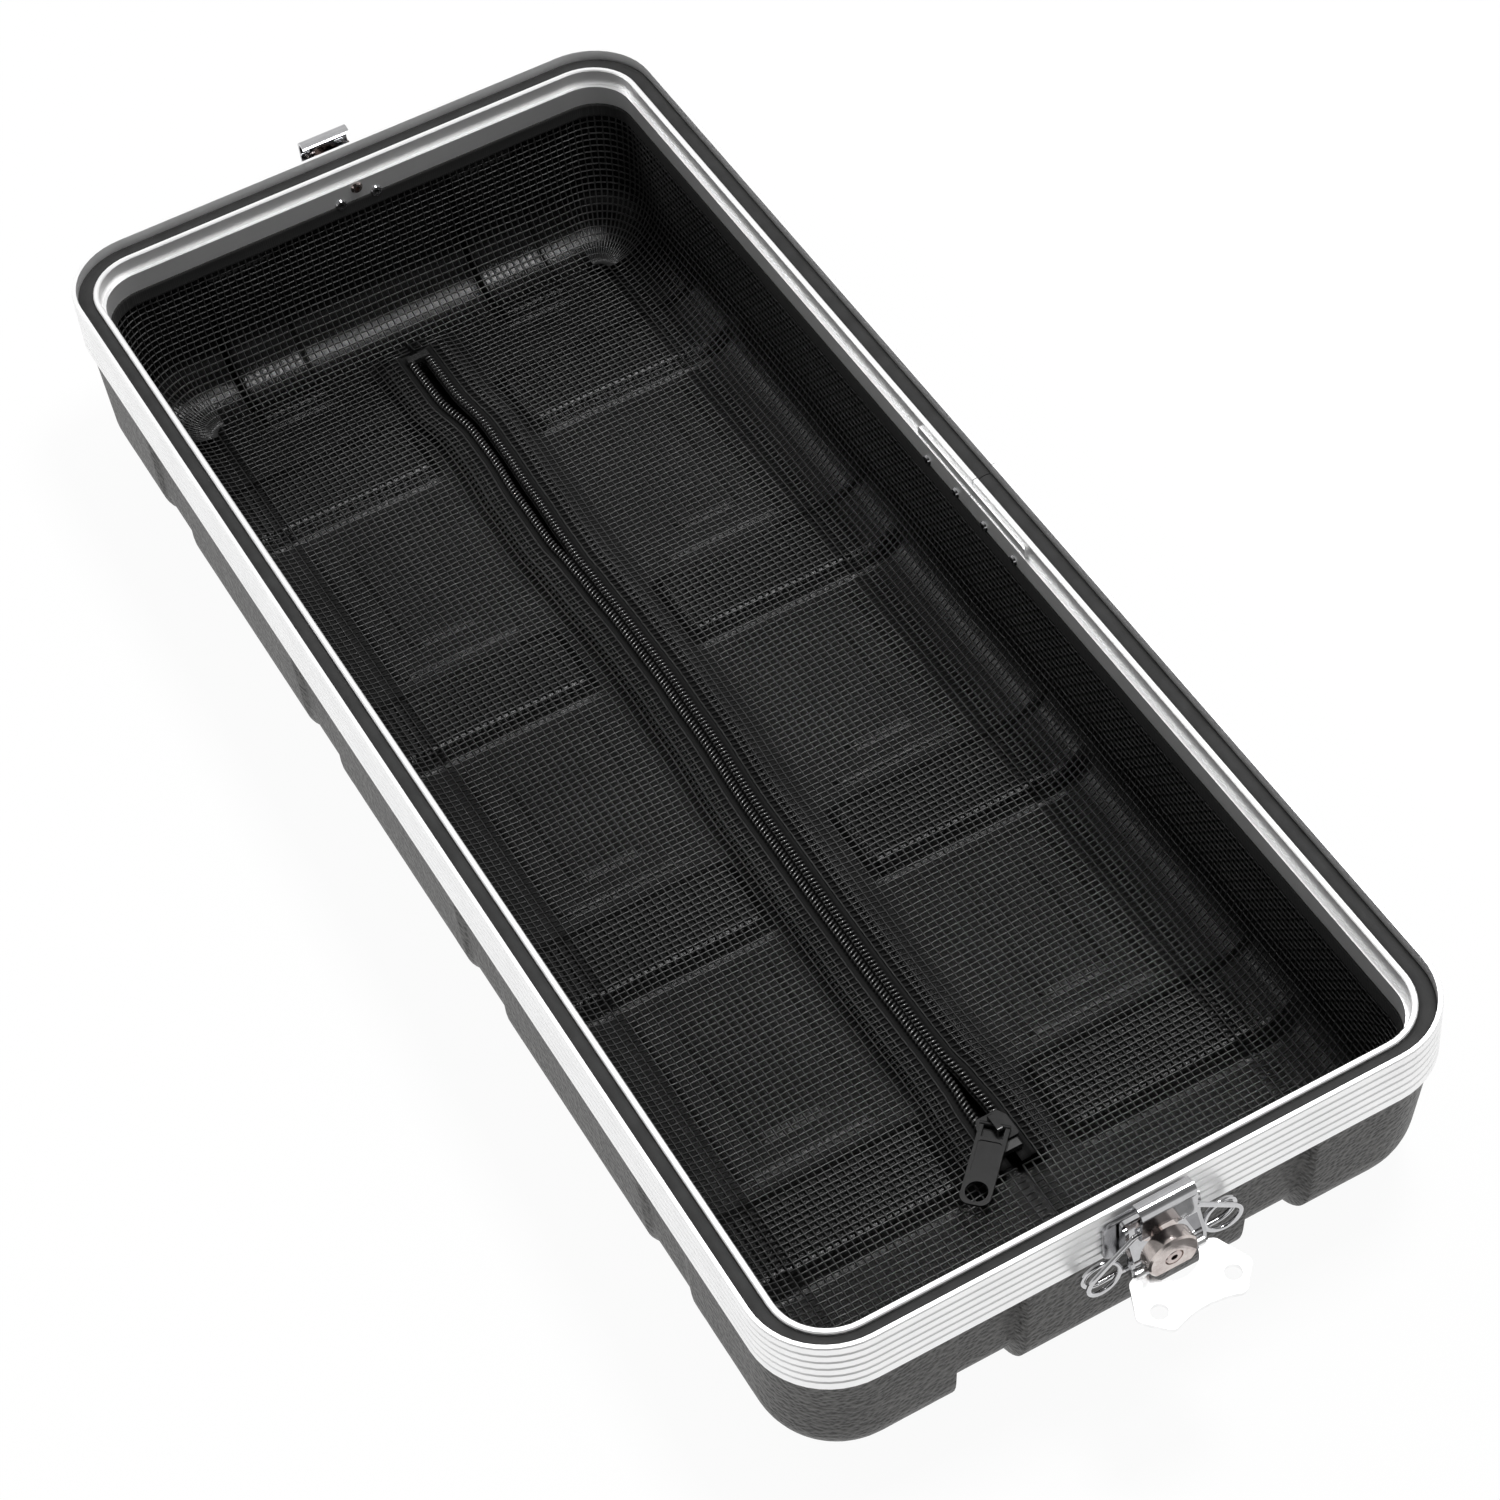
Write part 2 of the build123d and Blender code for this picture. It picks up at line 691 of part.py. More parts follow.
# Zip slider: two wings, a neck between the coil rows, lips round the coils and a bridge on top
slider_x = zip_end - stop_length - slider_clearance - slider_length / 2
slider_front = slider_x + slider_length / 2
slider_back = slider_x - slider_length / 2
wing_half = zip_gap / 2 + coil_width + slider_clearance + slider_lip
top_wing_low = coil_top + slider_clearance
top_wing_high = top_wing_low + slider_wing
low_wing_high = net_top - slider_clearance
low_wing_low = low_wing_high - slider_wing
lip_low = tape_top + slider_clearance
bar_z = top_wing_high + puller_bar_radius + bridge_play
with BuildPart() as zip_slider:
    for low in (low_wing_low, top_wing_low):
        with BuildSketch(Plane.XY.offset(low)) as wing:
            with BuildLine():
                Polyline(
                    (slider_front, zip_side - wing_half),
                    (slider_back + slider_taper, zip_side - wing_half),
                    (slider_back, zip_side - wing_half * slider_taper_share),
                    (slider_back, zip_side + wing_half * slider_taper_share),
                    (slider_back + slider_taper, zip_side + wing_half),
                    (slider_front, zip_side + wing_half),
                    close=True,
                )
            make_face()
            fillet(wing.vertices(), slider_corner)
        extrude(amount=slider_wing)
    with BuildSketch(Plane.XY.offset(low_wing_high)):
        with Locations((slider_front - slider_neck, zip_side)):
            SlotOverall(slider_neck, zip_gap - 2 * slider_clearance)
    extrude(amount=top_wing_low - low_wing_high)
    with BuildSketch(Plane.XY.offset(lip_low)):
        for sign in (-1, 1):
            with Locations((slider_x + slider_taper / 2, zip_side + sign * (wing_half - slider_lip / 2))):
                Rectangle(slider_length - slider_taper - 2 * slider_corner, slider_lip)
    extrude(amount=top_wing_low - lip_low)
    with BuildSketch(Plane.XZ.offset(-zip_side - bridge_width / 2)):
        with Locations((slider_x, top_wing_high)):
            Rectangle(bridge_length, bridge_height, align=(Align.CENTER, Align.MIN))
            Rectangle(
                bridge_length - 2 * bridge_post,
                bridge_height - bridge_bar,
                align=(Align.CENTER, Align.MIN),
                mode=Mode.SUBTRACT,
            )
    extrude(amount=bridge_width)
    fillet(zip_slider.edges().filter_by(Axis.Y).group_by(Axis.Z)[-1], bridge_bar)
zip_slider.part.label = "zip_slider"

# Puller: an eye on a bar through the bridge, and a tab with a raised border and a hole
puller_direction = Vector(
    cos(radians(puller_skew)) * cos(radians(puller_droop)),
    sin(radians(puller_skew)) * cos(radians(puller_droop)),
    -sin(radians(puller_droop)),
)
puller_axis = Vector(-sin(radians(puller_skew)), cos(radians(puller_skew)), 0)
puller_plane = Plane(
    origin=(slider_x, zip_side, bar_z), x_dir=puller_direction, z_dir=puller_direction.cross(puller_axis)
)
with BuildPart() as zip_puller:
    with BuildSketch(puller_plane) as tab:
        with Locations((puller_length / 2, 0)):
            Rectangle(puller_length, puller_width)
        fillet(tab.vertices().group_by(Axis.X)[-1], puller_end_radius)
        with Locations((puller_eye / 2, 0)):
            Rectangle(puller_eye, puller_width - 2 * puller_arm, mode=Mode.SUBTRACT)
        with Locations((puller_length - puller_border - puller_hole / 2, 0)):
            Circle(puller_hole / 2, mode=Mode.SUBTRACT)
    extrude(amount=puller_thickness / 2, both=True)
    for face_sign in (-1, 1):
        with BuildSketch(puller_plane.offset(face_sign * puller_thickness / 2)):
            panel_start = puller_eye + puller_border
            panel_end = puller_length - 2 * puller_border - puller_hole - puller_border
            with Locations(((panel_start + panel_end) / 2, 0)):
                RectangleRounded(panel_end - panel_start, puller_width - 2 * puller_border, puller_border)
        extrude(amount=-face_sign * puller_panel_sunk, mode=Mode.SUBTRACT)
    bar_plane = Plane(
        origin=puller_plane.origin - puller_axis * (puller_width / 2),
        x_dir=puller_direction,
        z_dir=puller_axis,
    )
    with BuildSketch(bar_plane):
        Circle(puller_bar_radius)
    extrude(amount=puller_width)
zip_puller.part.label = "zip_puller"


def biarc(start, start_direction, end, end_direction):
    """Two arcs that join two points with given directions."""
    chord = end - start
    both = start_direction + end_direction
    spread = 2 * (1 - start_direction.dot(end_direction))
    along = chord.dot(both)
    reach = (sqrt(along * along + spread * chord.dot(chord)) - along) / spread
    middle = (start + start_direction * reach + end - end_direction * reach) * 0.5
    middle_direction = (middle - start - start_direction * reach).normalized()
    TangentArc(start, middle, tangent=start_direction)
    TangentArc(middle, end, tangent=middle_direction)


# Latches. Each claw hangs on an eccentric boss of its drum, so a turn of the drum draws the hook down
link_low = base_thickness + link_gap
link_high = link_low + link_thickness
boss_low = link_low - boss_below_link
boss_high = link_high + boss_above_link
disc_end = disc_start + disc_thickness
knuckle_radius = wire_radius + running_clearance + knuckle_wall
ring_bottom_z = ring_centre_z - ring_radius


def cam_centre(angle):
    """The eccentric's centre in the end plane, y across and z up from the drum axis."""
    return (eccentricity * cos(radians(angle)), eccentricity * sin(radians(angle)))


def base_plate(side):
    """Plate under the latch, riveted to the rim."""
    with BuildPart() as plate:
        with BuildSketch(end_plane(side)) as outline:
            with Locations((0, (base_above - base_below) / 2)):
                RectangleRounded(base_width, base_above + base_below, base_corner)
            with Locations(*latch_rivet_points):
                Circle(rivet_radius + running_clearance, mode=Mode.SUBTRACT)
            Circle(pivot_radius + running_clearance, mode=Mode.SUBTRACT)
        extrude(outline.sketch, amount=base_thickness)
        chamfer(plate.faces().sort_by(Axis.X)[-1 if side > 0 else 0].outer_wire().edges(), plate_chamfer)
    return plate.part


def base_rivets(side):
    """Two tubular rivets through the base plate, the rim and the shell."""
    with BuildPart() as rivets:
        with BuildSketch(end_plane(side).offset(inner_face_u)) as shanks:
            with Locations(*latch_rivet_points):
                Circle(rivet_radius)
        extrude(shanks.sketch, amount=base_thickness - inner_face_u)
        with BuildSketch(end_plane(side).offset(base_thickness)) as heads:
            with Locations(*latch_rivet_points):
                Circle(rivet_head_radius)
        extrude(heads.sketch, amount=rivet_head_height, taper=rivet_head_taper)
        with BuildSketch(end_plane(side).offset(inner_face_u)) as clinches:
            with Locations(*latch_rivet_points):
                Circle(clinch_radius)
        extrude(clinches.sketch, amount=-rivet_clinch, taper=rivet_clinch_taper)
        clinch_plane = end_plane(side).offset(inner_face_u - rivet_clinch)
        drill(clinch_plane, latch_rivet_points, rivet_bore, -rivet_bore_depth)
    return rivets.part


def pivot_rivet(side):
    """Tubular rivet that the drum turns on."""
    with BuildPart() as rivet:
        with BuildSketch(section_plane(side)) as half:
            with BuildLine():
                Polyline(
                    (inner_face_u - rivet_clinch, rivet_bore),
                    (inner_face_u - rivet_clinch, clinch_radius - rivet_head_height),
                    (inner_face_u - rivet_clinch + rivet_head_height, clinch_radius),
                    (inner_face_u, clinch_radius),
                    (inner_face_u, pivot_radius),
                    (disc_end - pivot_head_height, pivot_radius),
                    (disc_end - pivot_head_height, pivot_head_radius),
                    (disc_end - rivet_head_height, pivot_head_radius),
                    (disc_end, pivot_head_radius - rivet_head_height),
                    (disc_end, pivot_bore),
                    (disc_end - pivot_bore_depth, pivot_bore),
                    (disc_end - pivot_bore_depth, 0),
                    (inner_face_u - rivet_clinch + rivet_bore_depth, 0),
                    (inner_face_u - rivet_clinch + rivet_bore_depth, rivet_bore),
                    close=True,
                )
            make_face()
        revolve(half.sketch, axis=Axis((0, 0, axis_height), (1, 0, 0)))
    return rivet.part


def drum(side, angle):
    """Turning drum: neck, eccentric boss with its collar, and the disc that carries the handle."""
    plane = end_plane(side)
    cam = cam_centre(angle)
    low = base_thickness + running_clearance
    with BuildPart() as body:
        with BuildSketch(plane.offset(low)) as neck:
            Circle(neck_radius)
        extrude(neck.sketch, amount=disc_start - low)
        with BuildSketch(plane.offset(boss_low)) as boss:
            with Locations(cam):
                Circle(boss_radius)
        extrude(boss.sketch, amount=boss_high - boss_low)
        with BuildSketch(plane.offset(boss_high)) as collar:
            with Locations(cam):
                Circle(collar_radius)
        extrude(collar.sketch, amount=collar_thickness)
        with BuildSketch(plane.offset(disc_start)) as disc:
            Circle(disc_radius)
            with Locations((0, -disc_flat)):
                Rectangle(2 * disc_radius, disc_radius, align=(Align.CENTER, Align.MAX), mode=Mode.SUBTRACT)
        extrude(disc.sketch, amount=disc_thickness)
        rim_edges = body.faces().sort_by(Axis.X)[-1 if side > 0 else 0].outer_wire().edges()
        chamfer(rim_edges, disc_chamfer)
        drill(plane.offset(disc_end), [(0, 0)], pivot_radius + running_clearance, disc_end)
        drill(
            plane.offset(disc_end),
            [(0, 0)],
            pivot_head_radius + running_clearance,
            pivot_head_height + running_clearance,
        )
        drill(
            section_plane(side, -disc_radius),
            [(pin_u, -pin_offset)],
            pin_radius + running_clearance,
            2 * disc_radius,
        )
    return body.part


def link_plate(side, angle):
    """Strap round the eccentric, with two flanges and a curled tab that holds the spring."""
    cam = cam_centre(angle)
    with BuildPart() as link:
        with BuildSketch(end_plane(side).offset(link_low)) as strap:
            with Locations(cam):
                with Locations((0, (link_top - link_bottom) / 2)):
                    RectangleRounded(2 * link_half_width, link_top + link_bottom, link_corner)
                with Locations((0, (ring_bottom_z - link_bottom) / 2)):
                    Rectangle(2 * tab_half_width, -link_bottom - ring_bottom_z)
                Circle(boss_radius + running_clearance, mode=Mode.SUBTRACT)
        extrude(strap.sketch, amount=link_thickness)
        for sign in (-1, 1):
            flange_y = cam[0] + sign * (link_half_width - link_flange / 2)
            with BuildSketch(section_plane(side, flange_y)) as flange:
                with BuildLine():
                    FilletPolyline(
                        (link_low, cam[1] - link_bottom + link_corner),
                        (flange_low_reach, cam[1] - link_bottom + link_corner),
                        (flange_low_reach, cam[1] - link_bottom + link_corner + flange_step),
                        (flange_high_reach, cam[1] - flange_step / 2),
                        (flange_high_reach, cam[1] + link_top - link_corner),
                        (link_low, cam[1] + link_top - link_corner),
                        radius=[0, flange_round, flange_round, flange_round, flange_round, 0],
                        close=True,
                    )
                make_face()
            extrude(flange.sketch, amount=link_flange / 2, both=True)
        knuckle_at = (ring_start_u, cam[1] + ring_bottom_z)
        with BuildSketch(section_plane(side, cam[0])) as knuckle:
            with Locations(knuckle_at):
                Circle(knuckle_radius)
        extrude(knuckle.sketch, amount=tab_half_width, both=True)
        drill(
            section_plane(side, cam[0] - 2 * tab_half_width),
            [knuckle_at],
            wire_radius + running_clearance,
            4 * tab_half_width,
        )
    return link.part


def hook_plate(side, angle):
    """Plate curled round the wire's top ends, rising to a lip that grips the other half's rim."""
    cam = cam_centre(angle)
    knuckle_at = (wire_top_u, cam[1] + wire_top_z)
    with BuildPart() as hook:
        with BuildSketch(section_plane(side, cam[0])) as profile:
            with BuildLine():
                plate_u = wire_top_u + knuckle_radius - hook_thickness
                FilletPolyline(
                    (plate_u, knuckle_at[1]),
                    (plate_u + hook_lean, cam[1] + hook_rise),
                    (hook_lip, cam[1] + hook_rise - hook_lip_drop),
                    radius=hook_ridge_radius,
                )
                offset(amount=hook_thickness, side=Side.RIGHT)
            make_face()
        extrude(profile.sketch, amount=hook_half_width, both=True)
        with BuildSketch(section_plane(side, cam[0])) as curl:
            with Locations(knuckle_at):
                Circle(knuckle_radius)
        extrude(curl.sketch, amount=hook_half_width, both=True)
        drill(
            section_plane(side, cam[0] - hook_half_width - cut_margin),
            [knuckle_at],
            wire_radius + running_clearance,
            2 * (hook_half_width + cut_margin),
        )
        with BuildSketch(end_plane(side)) as notch:
            with Locations((cam[0] + left_knuckle_inner, cam[1] + notch_top)):
                Rectangle(
                    right_knuckle_inner - left_knuckle_inner,
                    notch_top + knuckle_radius,
                    align=(Align.MIN, Align.MAX),
                )
        extrude(notch.sketch, amount=disc_start, mode=Mode.SUBTRACT)
    return hook.part


def claw_points():
    """Points and directions of half the claw wire, from its middle to its end: across, up, outward."""
    bend_to_ring = (ring_centre_y - wire_bend_y, ring_centre_z - wire_top_z)
    distance = hypot(*bend_to_ring)
    leave = degrees(atan2(-bend_to_ring[1], -bend_to_ring[0]) - acos(ring_radius / distance))
    turn = leave + 90 + 360
    rise = (wire_top_u - ring_start_u) / radians(turn) / ring_radius
    points = []
    for n in range(ring_steps + 1):
        angle = radians(-90 + turn * n / ring_steps)
        slope = 0 if n in (0, ring_steps) else rise
        place = Vector(
            ring_centre_y + ring_radius * cos(angle),
            ring_centre_z + ring_radius * sin(angle),
            ring_start_u + (wire_top_u - ring_start_u) * n / ring_steps,
        )
        points.append((place, Vector(-sin(angle), cos(angle), slope).normalized()))
    return points


def claw_spring(side, angle):
    """Round wire with a sprung ring each side, from the link plate's tab to the hook, and its two routes."""
    cam = cam_centre(angle)
    ring = claw_points()
    halves = []
    with BuildPart() as wire:
        for hand in (1, -1):

            def place(point):
                local = Vector(cam[0] + hand * point.X, cam[1] + point.Y, point.Z)
                return end_plane(side).from_local_coords(local)

            def turned(direction):
                return Vector(0, side * hand * direction.X, direction.Y) + Vector(side * direction.Z, 0, 0)

            with BuildLine() as route:
                Line(place(Vector(0, ring_bottom_z, ring_start_u)), place(ring[0][0]))
                for (p, p_direction), (q, q_direction) in zip(ring, ring[1:]):
                    biarc(place(p), turned(p_direction), place(q), turned(q_direction))
                FilletPolyline(
                    place(ring[-1][0]),
                    place(Vector(wire_bend_y, wire_top_z, wire_top_u)),
                    place(Vector(wire_end_y, wire_top_z, wire_top_u)),
                    radius=wire_bend_radius,
                )
            with BuildSketch(section_plane(side, cam[0])) as section:
                with Locations((ring_start_u, cam[1] + ring_bottom_z)):
                    Circle(wire_radius)
            sweep(section.sketch, path=route.wire())
            halves.append(route.wire())
    return wire.part, halves


def handle(side, folded_out):
    """Butterfly plate on the pin, with a round cut-out for the disc, two finger holes and a hollow end."""
    pin_at = end_plane(side).from_local_coords(Vector(0, -pin_offset, pin_u))
    across = Vector(0, side, 0)
    along = Vector(side, 0, 0) if folded_out else Vector(0, 0, -1)
    plane = Plane(origin=pin_at, x_dir=across, z_dir=across.cross(along))
    with BuildPart() as plate:
        with BuildSketch(plane) as outline:
            with BuildLine():
                right = [
                    (handle_ear_outer, 0),
                    (handle_waist, handle_waist_p),
                    (handle_half_width, handle_shoulder),
                    (handle_notch_half_width, handle_reach),
                ]
                left = [(-q, p) for q, p in reversed(right)]
                Polyline(*left)
                Line(left[-1], right[0])
                Polyline(*right)
                ThreePointArc(right[-1], (0, handle_reach - handle_notch_depth), left[0])
            make_face()
            corners = outline.vertices().filter_by_position(Axis.Y, handle_waist_p / 2, 2 * handle_reach)
            fillet(corners, handle_round)
            with Locations((0, handle_cut_centre)):
                Circle(handle_cut_radius, mode=Mode.SUBTRACT)
            with Locations((-handle_hole_q, handle_hole_p), (handle_hole_q, handle_hole_p)):
                Circle(handle_hole_radius, mode=Mode.SUBTRACT)
        extrude(outline.sketch, amount=handle_thickness / 2, both=True)
        ear_plane = Plane(origin=pin_at, x_dir=along, z_dir=across)
        for sign in (-1, 1):
            middle = sign * (handle_ear_inner + handle_ear_outer) / 2
            with BuildSketch(ear_plane.offset(middle)) as ear:
                Circle(handle_ear_radius)
            extrude(ear.sketch, amount=(handle_ear_outer - handle_ear_inner) / 2, both=True)
        drill(
            ear_plane.offset(handle_ear_outer + cut_margin),
            [(0, 0)],
            pin_radius + running_clearance,
            2 * (handle_ear_outer + cut_margin),
        )
        with BuildSketch(plane) as clear_strip:
            Rectangle(2 * handle_ear_inner, 2 * handle_ear_radius)
        extrude(clear_strip.sketch, amount=handle_ear_radius, both=True, mode=Mode.SUBTRACT)
    return plate.part


def handle_pin(side):
    """Cross pin of the handle, through the disc."""
    with BuildPart() as pin:
        with BuildSketch(section_plane(side)) as section:
            with Locations((pin_u, -pin_offset)):
                Circle(pin_radius)
        extrude(section.sketch, amount=handle_ear_outer, both=True)
    return pin.part


def point_gap(routes, radius, skip):
    """Least gap between parts of a wire that lie further apart along it than skip."""
    gaps = []
    for route in routes:
        points = [route.position_at(n / gap_samples) for n in range(gap_samples + 1)]
        apart = int(skip / route.length * gap_samples) + 1
        for n, point in enumerate(points):
            gaps += [(point - other).length for other in points[n + apart:]]
    return min(gaps) - 2 * radius


for side, end, angle, folded_out in ((1, "near", near_cam_angle, True), (-1, "far", far_cam_angle, False)):
    spring, routes = claw_spring(side, angle)
    pieces = {
        "base_plate": base_plate(side),
        "base_rivets": base_rivets(side),
        "pivot_rivet": pivot_rivet(side),
        "drum": drum(side, angle),
        "link_plate": link_plate(side, angle),
        "hook_plate": hook_plate(side, angle),
        "claw_spring": spring,
        "handle": handle(side, folded_out),
        "handle_pin": handle_pin(side),
    }
    print(end, "claw wire gap", round(point_gap(routes, wire_radius, 2 * ring_radius), 3))
    for name, piece in pieces.items():
        piece.label = end + "_" + name
        export_step(piece, "parts/" + end + "_" + name + ".step")

for piece in (
    shell,
    rim_extrusion,
    gasket,
    splice_plate,
    splice_bar,
    splice_rivets,
    net_hem,
    net_side_skirt,
    net_left_panel,
    net_right_panel,
    zip_tape_left,
    zip_tape_right,
    zip_coil_left,
    zip_coil_right,
    zip_end_stops,
    zip_slider,
    zip_puller,
):
    export_step(piece.part, "parts/" + piece.part.label + ".step")
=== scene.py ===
"""Looks of the rack case cover: net, zip, materials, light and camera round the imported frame."""

from math import cos, pi, radians, sin

import bpy
import numpy as np
from mathutils import Matrix, Vector, noise


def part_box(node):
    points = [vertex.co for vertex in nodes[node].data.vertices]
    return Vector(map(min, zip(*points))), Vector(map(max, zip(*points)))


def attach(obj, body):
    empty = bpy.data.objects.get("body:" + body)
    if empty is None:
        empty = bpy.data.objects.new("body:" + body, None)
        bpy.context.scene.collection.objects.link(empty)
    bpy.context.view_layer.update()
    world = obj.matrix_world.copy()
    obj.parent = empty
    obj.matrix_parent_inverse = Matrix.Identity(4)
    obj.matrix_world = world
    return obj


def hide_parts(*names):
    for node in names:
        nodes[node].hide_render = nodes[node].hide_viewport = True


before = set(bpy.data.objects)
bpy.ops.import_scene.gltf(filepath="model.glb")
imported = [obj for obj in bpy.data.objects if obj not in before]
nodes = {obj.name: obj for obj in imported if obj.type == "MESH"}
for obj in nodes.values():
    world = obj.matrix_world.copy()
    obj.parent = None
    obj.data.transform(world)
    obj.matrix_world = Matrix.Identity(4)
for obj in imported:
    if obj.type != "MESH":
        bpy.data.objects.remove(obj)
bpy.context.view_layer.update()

MM = 0.001

# Shapes are worked out in millimetres; materials, lights and the floor are in metres.

# Camera of the photograph, in millimetres from the middle of the plane of the tongue's top
camera_place = Vector((780.703, -334.057, 924.618))
camera_look = Vector((-0.591892, 0.264341, -0.761438))
camera_up = Vector((-0.642930, 0.414908, 0.643811))
camera_lens = 93.2255
camera_sensor = 36.0
camera_clip = (0.05, 50.0)
tongue_top = 75.0

# Net: spacing, size and weave of its strands
pitch_x = 2.3
pitch_y = 2.7
strand_width = 0.68
strand_height = 0.46
weave_lift = 0.10
wall_rings = 23
count_corner = 19

# Net: run of its walls, from the hem down to the flat part
hem_low = 55.0
net_edge_radius = 22.0
net_end_draft = 6.0
net_side_draft = 1.8
net_top_corner = 16.1
net_flat_corner = 4.0
wall_swell = 0.6
swell_length = 30.0
swell_rise = 18.0

# Net: how the loose flat part sags between the shell's ribs, ripples and drifts
net_sag = 0.9
rib_places = (-183.0, -61.0, 61.0, 183.0)
rib_half = 16.0
bay_ease = 20.0
end_ease = 20.0
side_ease = 12.0
ripple_height = 0.25
ripple_length = 38.0
ripple_squeeze = 1.6
drift_x_size = 0.4
drift_x_length = 40.0
drift_y_size = 0.55
drift_y_lengths = (55.0, 30.0)
drift_ease = 12.0
tape_clearance = 0.25
lift_ease = 10.0
stop_margin = 4
stop_ease = 12

# Net: the folded edge under it beside the zip
fold_start = 7.4
fold_end = 11.6
fold_lines = 4
fold_drop = 0.7
fold_share = 0.62
slit_margin = 3.6

# Hem: wander of the bound edge, and its section: ways inward with heights from its top or low edge
hem_wave = 0.12
hem_wave_length = 14.0
hem_drop = 0.35
hem_drop_length = 25.0
hem_fixed = 0.5
hem_upper = ((0.05, 0.0), (0.62, -0.15), (0.7, -1.2))
hem_lower = ((0.7, 1.2), (1.0, 0.6), (0.75, 0.05), (0.1, 0.0))
hem_arc_steps = 8
hem_long_steps = 60
hem_short_steps = 24

# Zip: the rows wander with the loose net; x, then the row on the +Y side and the row on the -Y side
zip_rows = (
    (-197.0, 3.4, -3.2),
    (-174.0, 5.6, 0.2),
    (-160.0, 5.2, 0.2),
    (-135.0, 4.3, -1.2),
    (-110.0, 3.4, -1.6),
    (-97.0, 3.1, -0.6),
    (-85.0, 3.6, -0.2),
    (-60.0, 4.2, 0.8),
    (-35.0, 4.4, 0.9),
    (-10.0, 3.8, 0.2),
    (40.0, 1.5, -2.0),
    (90.0, 0.8, -2.6),
    (115.0, 0.6, -2.8),
    (140.0, 0.7, -2.4),
    (152.0, 1.1, -2.1),
    (165.0, 2.6, -2.3),
    (178.0, 3.4, -3.2),
    (186.0, 3.4, -3.4),
)
row_rest = 2.3
pull_reach = 48.0

# Zip: the coils
coil_pitch = 1.7
coil_wire = 0.42
coil_sides = 6
coil_steps = 12
coil_margin = 3.2
coil_half_width = 1.2
coil_half_height = 0.8
coil_squareness = 0.6
coil_slant = 0.3

# Zip: the tapes, dipped under the coils, in sight beside them and drooping under the net
tape_dip = 0.75
tape_show = 3.85
tape_hidden = 5.2
tape_thickness = 0.5
tape_margin = 3.5
tape_stations = 150
tape_step = 0.5
tape_level = 0.12
tape_uneven = 0.18
tape_uneven_length = 16.0
flap_level = 0.6
flap_droop = 1.2

# Noise layers, which keep the forms from wandering alike
ripple_layer = 3.0
drift_x_layer = 12.0
drift_y_layer = 8.0
hem_wave_layer = 1.0
hem_drop_layer = 5.0
tape_layer = 3.0

# Shell: the height in metres that its inner faces look up to, and its pebbles, grain and mottling
shell_eye = 0.5
pebble_scale = 640.0
grain_share = 0.22
mottle_share = 0.4
inner_rough = 0.14
outer_dulling = 0.28
bevel_samples = 6

# Rim: radius of its outer corners in millimetres, and how far its draw lines are stretched
rim_corner = 26.6
draw_stretch = 0.004

# Weave of tapes and hem
weave_scale = 380.0
weave_distortion = 0.6

# Plated metal and black plastic: lightest tone over the base, least and greatest roughness
chrome_lift = 1.12
chrome_rough = (0.7, 1.4)
plastic_rough = (0.8, 1.25)

# Studio: levels of the dome, its bright field and its dim side, and where each begins and ends
white = (1, 1, 1, 1)
dome_level = 0.32
field_level = 0.9
room_share = 0.12
bright_way = (-0.592, 0.264, 0.761)
dim_way = (0.592, -0.264, 0.761)
field_span = (0.70, 0.97)
room_span = (0.78, 0.93)
wall_span = (0.15, 0.45)

# Studio: the floor, and each light's name, place, size and power
floor_half = 6.0
floor_height = -0.0002
floor_tone = 0.82
floor_glow = 0.95
lights = (
    ("top_box", (0.0, 0.5, 1.8), (0.5, 0.4), 28),
    ("far_box", (-1.2, -1.05, 1.25), (0.5, 0.35), 6),
)


def clamp(value):
    """The value, kept from 0 to 1."""
    return min(1.0, max(0.0, value))


def smooth(value):
    """Eases a value from 0 to 1 in and out."""
    return value * value * (3 - 2 * value)


def uneven(*place):
    """Smooth noise at a place."""
    return noise.noise(Vector(place))


def row_line(x, sign):
    """Where the row on the side that sign gives lies at x, smooth between the listed places."""
    column = 1 if sign > 0 else 2
    xs = [row[0] for row in zip_rows]
    n = int(np.clip(np.searchsorted(xs, x) - 1, 0, len(xs) - 2))
    start, end = zip_rows[n][column], zip_rows[n + 1][column]
    return start + (end - start) * smooth(clamp((x - xs[n]) / (xs[n + 1] - xs[n])))


def lows(name):
    """Lowest corner of a CAD node, in millimetres."""
    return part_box(name)[0] / MM


def highs(name):
    """Highest corner of a CAD node, in millimetres."""
    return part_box(name)[1] / MM


zip_middle = (lows("zip_slider").y + highs("zip_slider").y) / 2
zip_start = lows("zip_end_stops").x
zip_end = highs("zip_end_stops").x
net_floor = (lows("net_left_panel").z + highs("net_left_panel").z) / 2
tape_top = highs("zip_tape_left").z
net_half_length = highs("net_side_skirt").x
net_half_width = highs("net_side_skirt").y
net_rise = hem_low - net_floor
flat_x = net_half_length - net_edge_radius - net_end_draft
flat_y = net_half_width - net_edge_radius - net_side_draft
straight_x = flat_x - net_flat_corner
straight_y = flat_y - net_flat_corner
count_x = round(2 * straight_x / pitch_x)
count_y = round(2 * straight_y / pitch_y)


def make_mesh(name, verts, faces):
    """Smooth shaded object from points in millimetres and faces."""
    mesh = bpy.data.meshes.new(name)
    points = np.asarray(verts, dtype=np.float64) * MM
    mesh.from_pydata(points.tolist(), [], faces)
    mesh.validate()
    mesh.polygons.foreach_set("use_smooth", [True] * len(mesh.polygons))
    piece = bpy.data.objects.new(name, mesh)
    bpy.context.scene.collection.objects.link(piece)
    return piece


def unit(vectors, axis, least=1e-9):
    """Vectors brought to length 1, unless they are shorter than the least length."""
    return vectors / np.expand_dims(np.maximum(np.linalg.norm(vectors, axis=axis), least), axis)


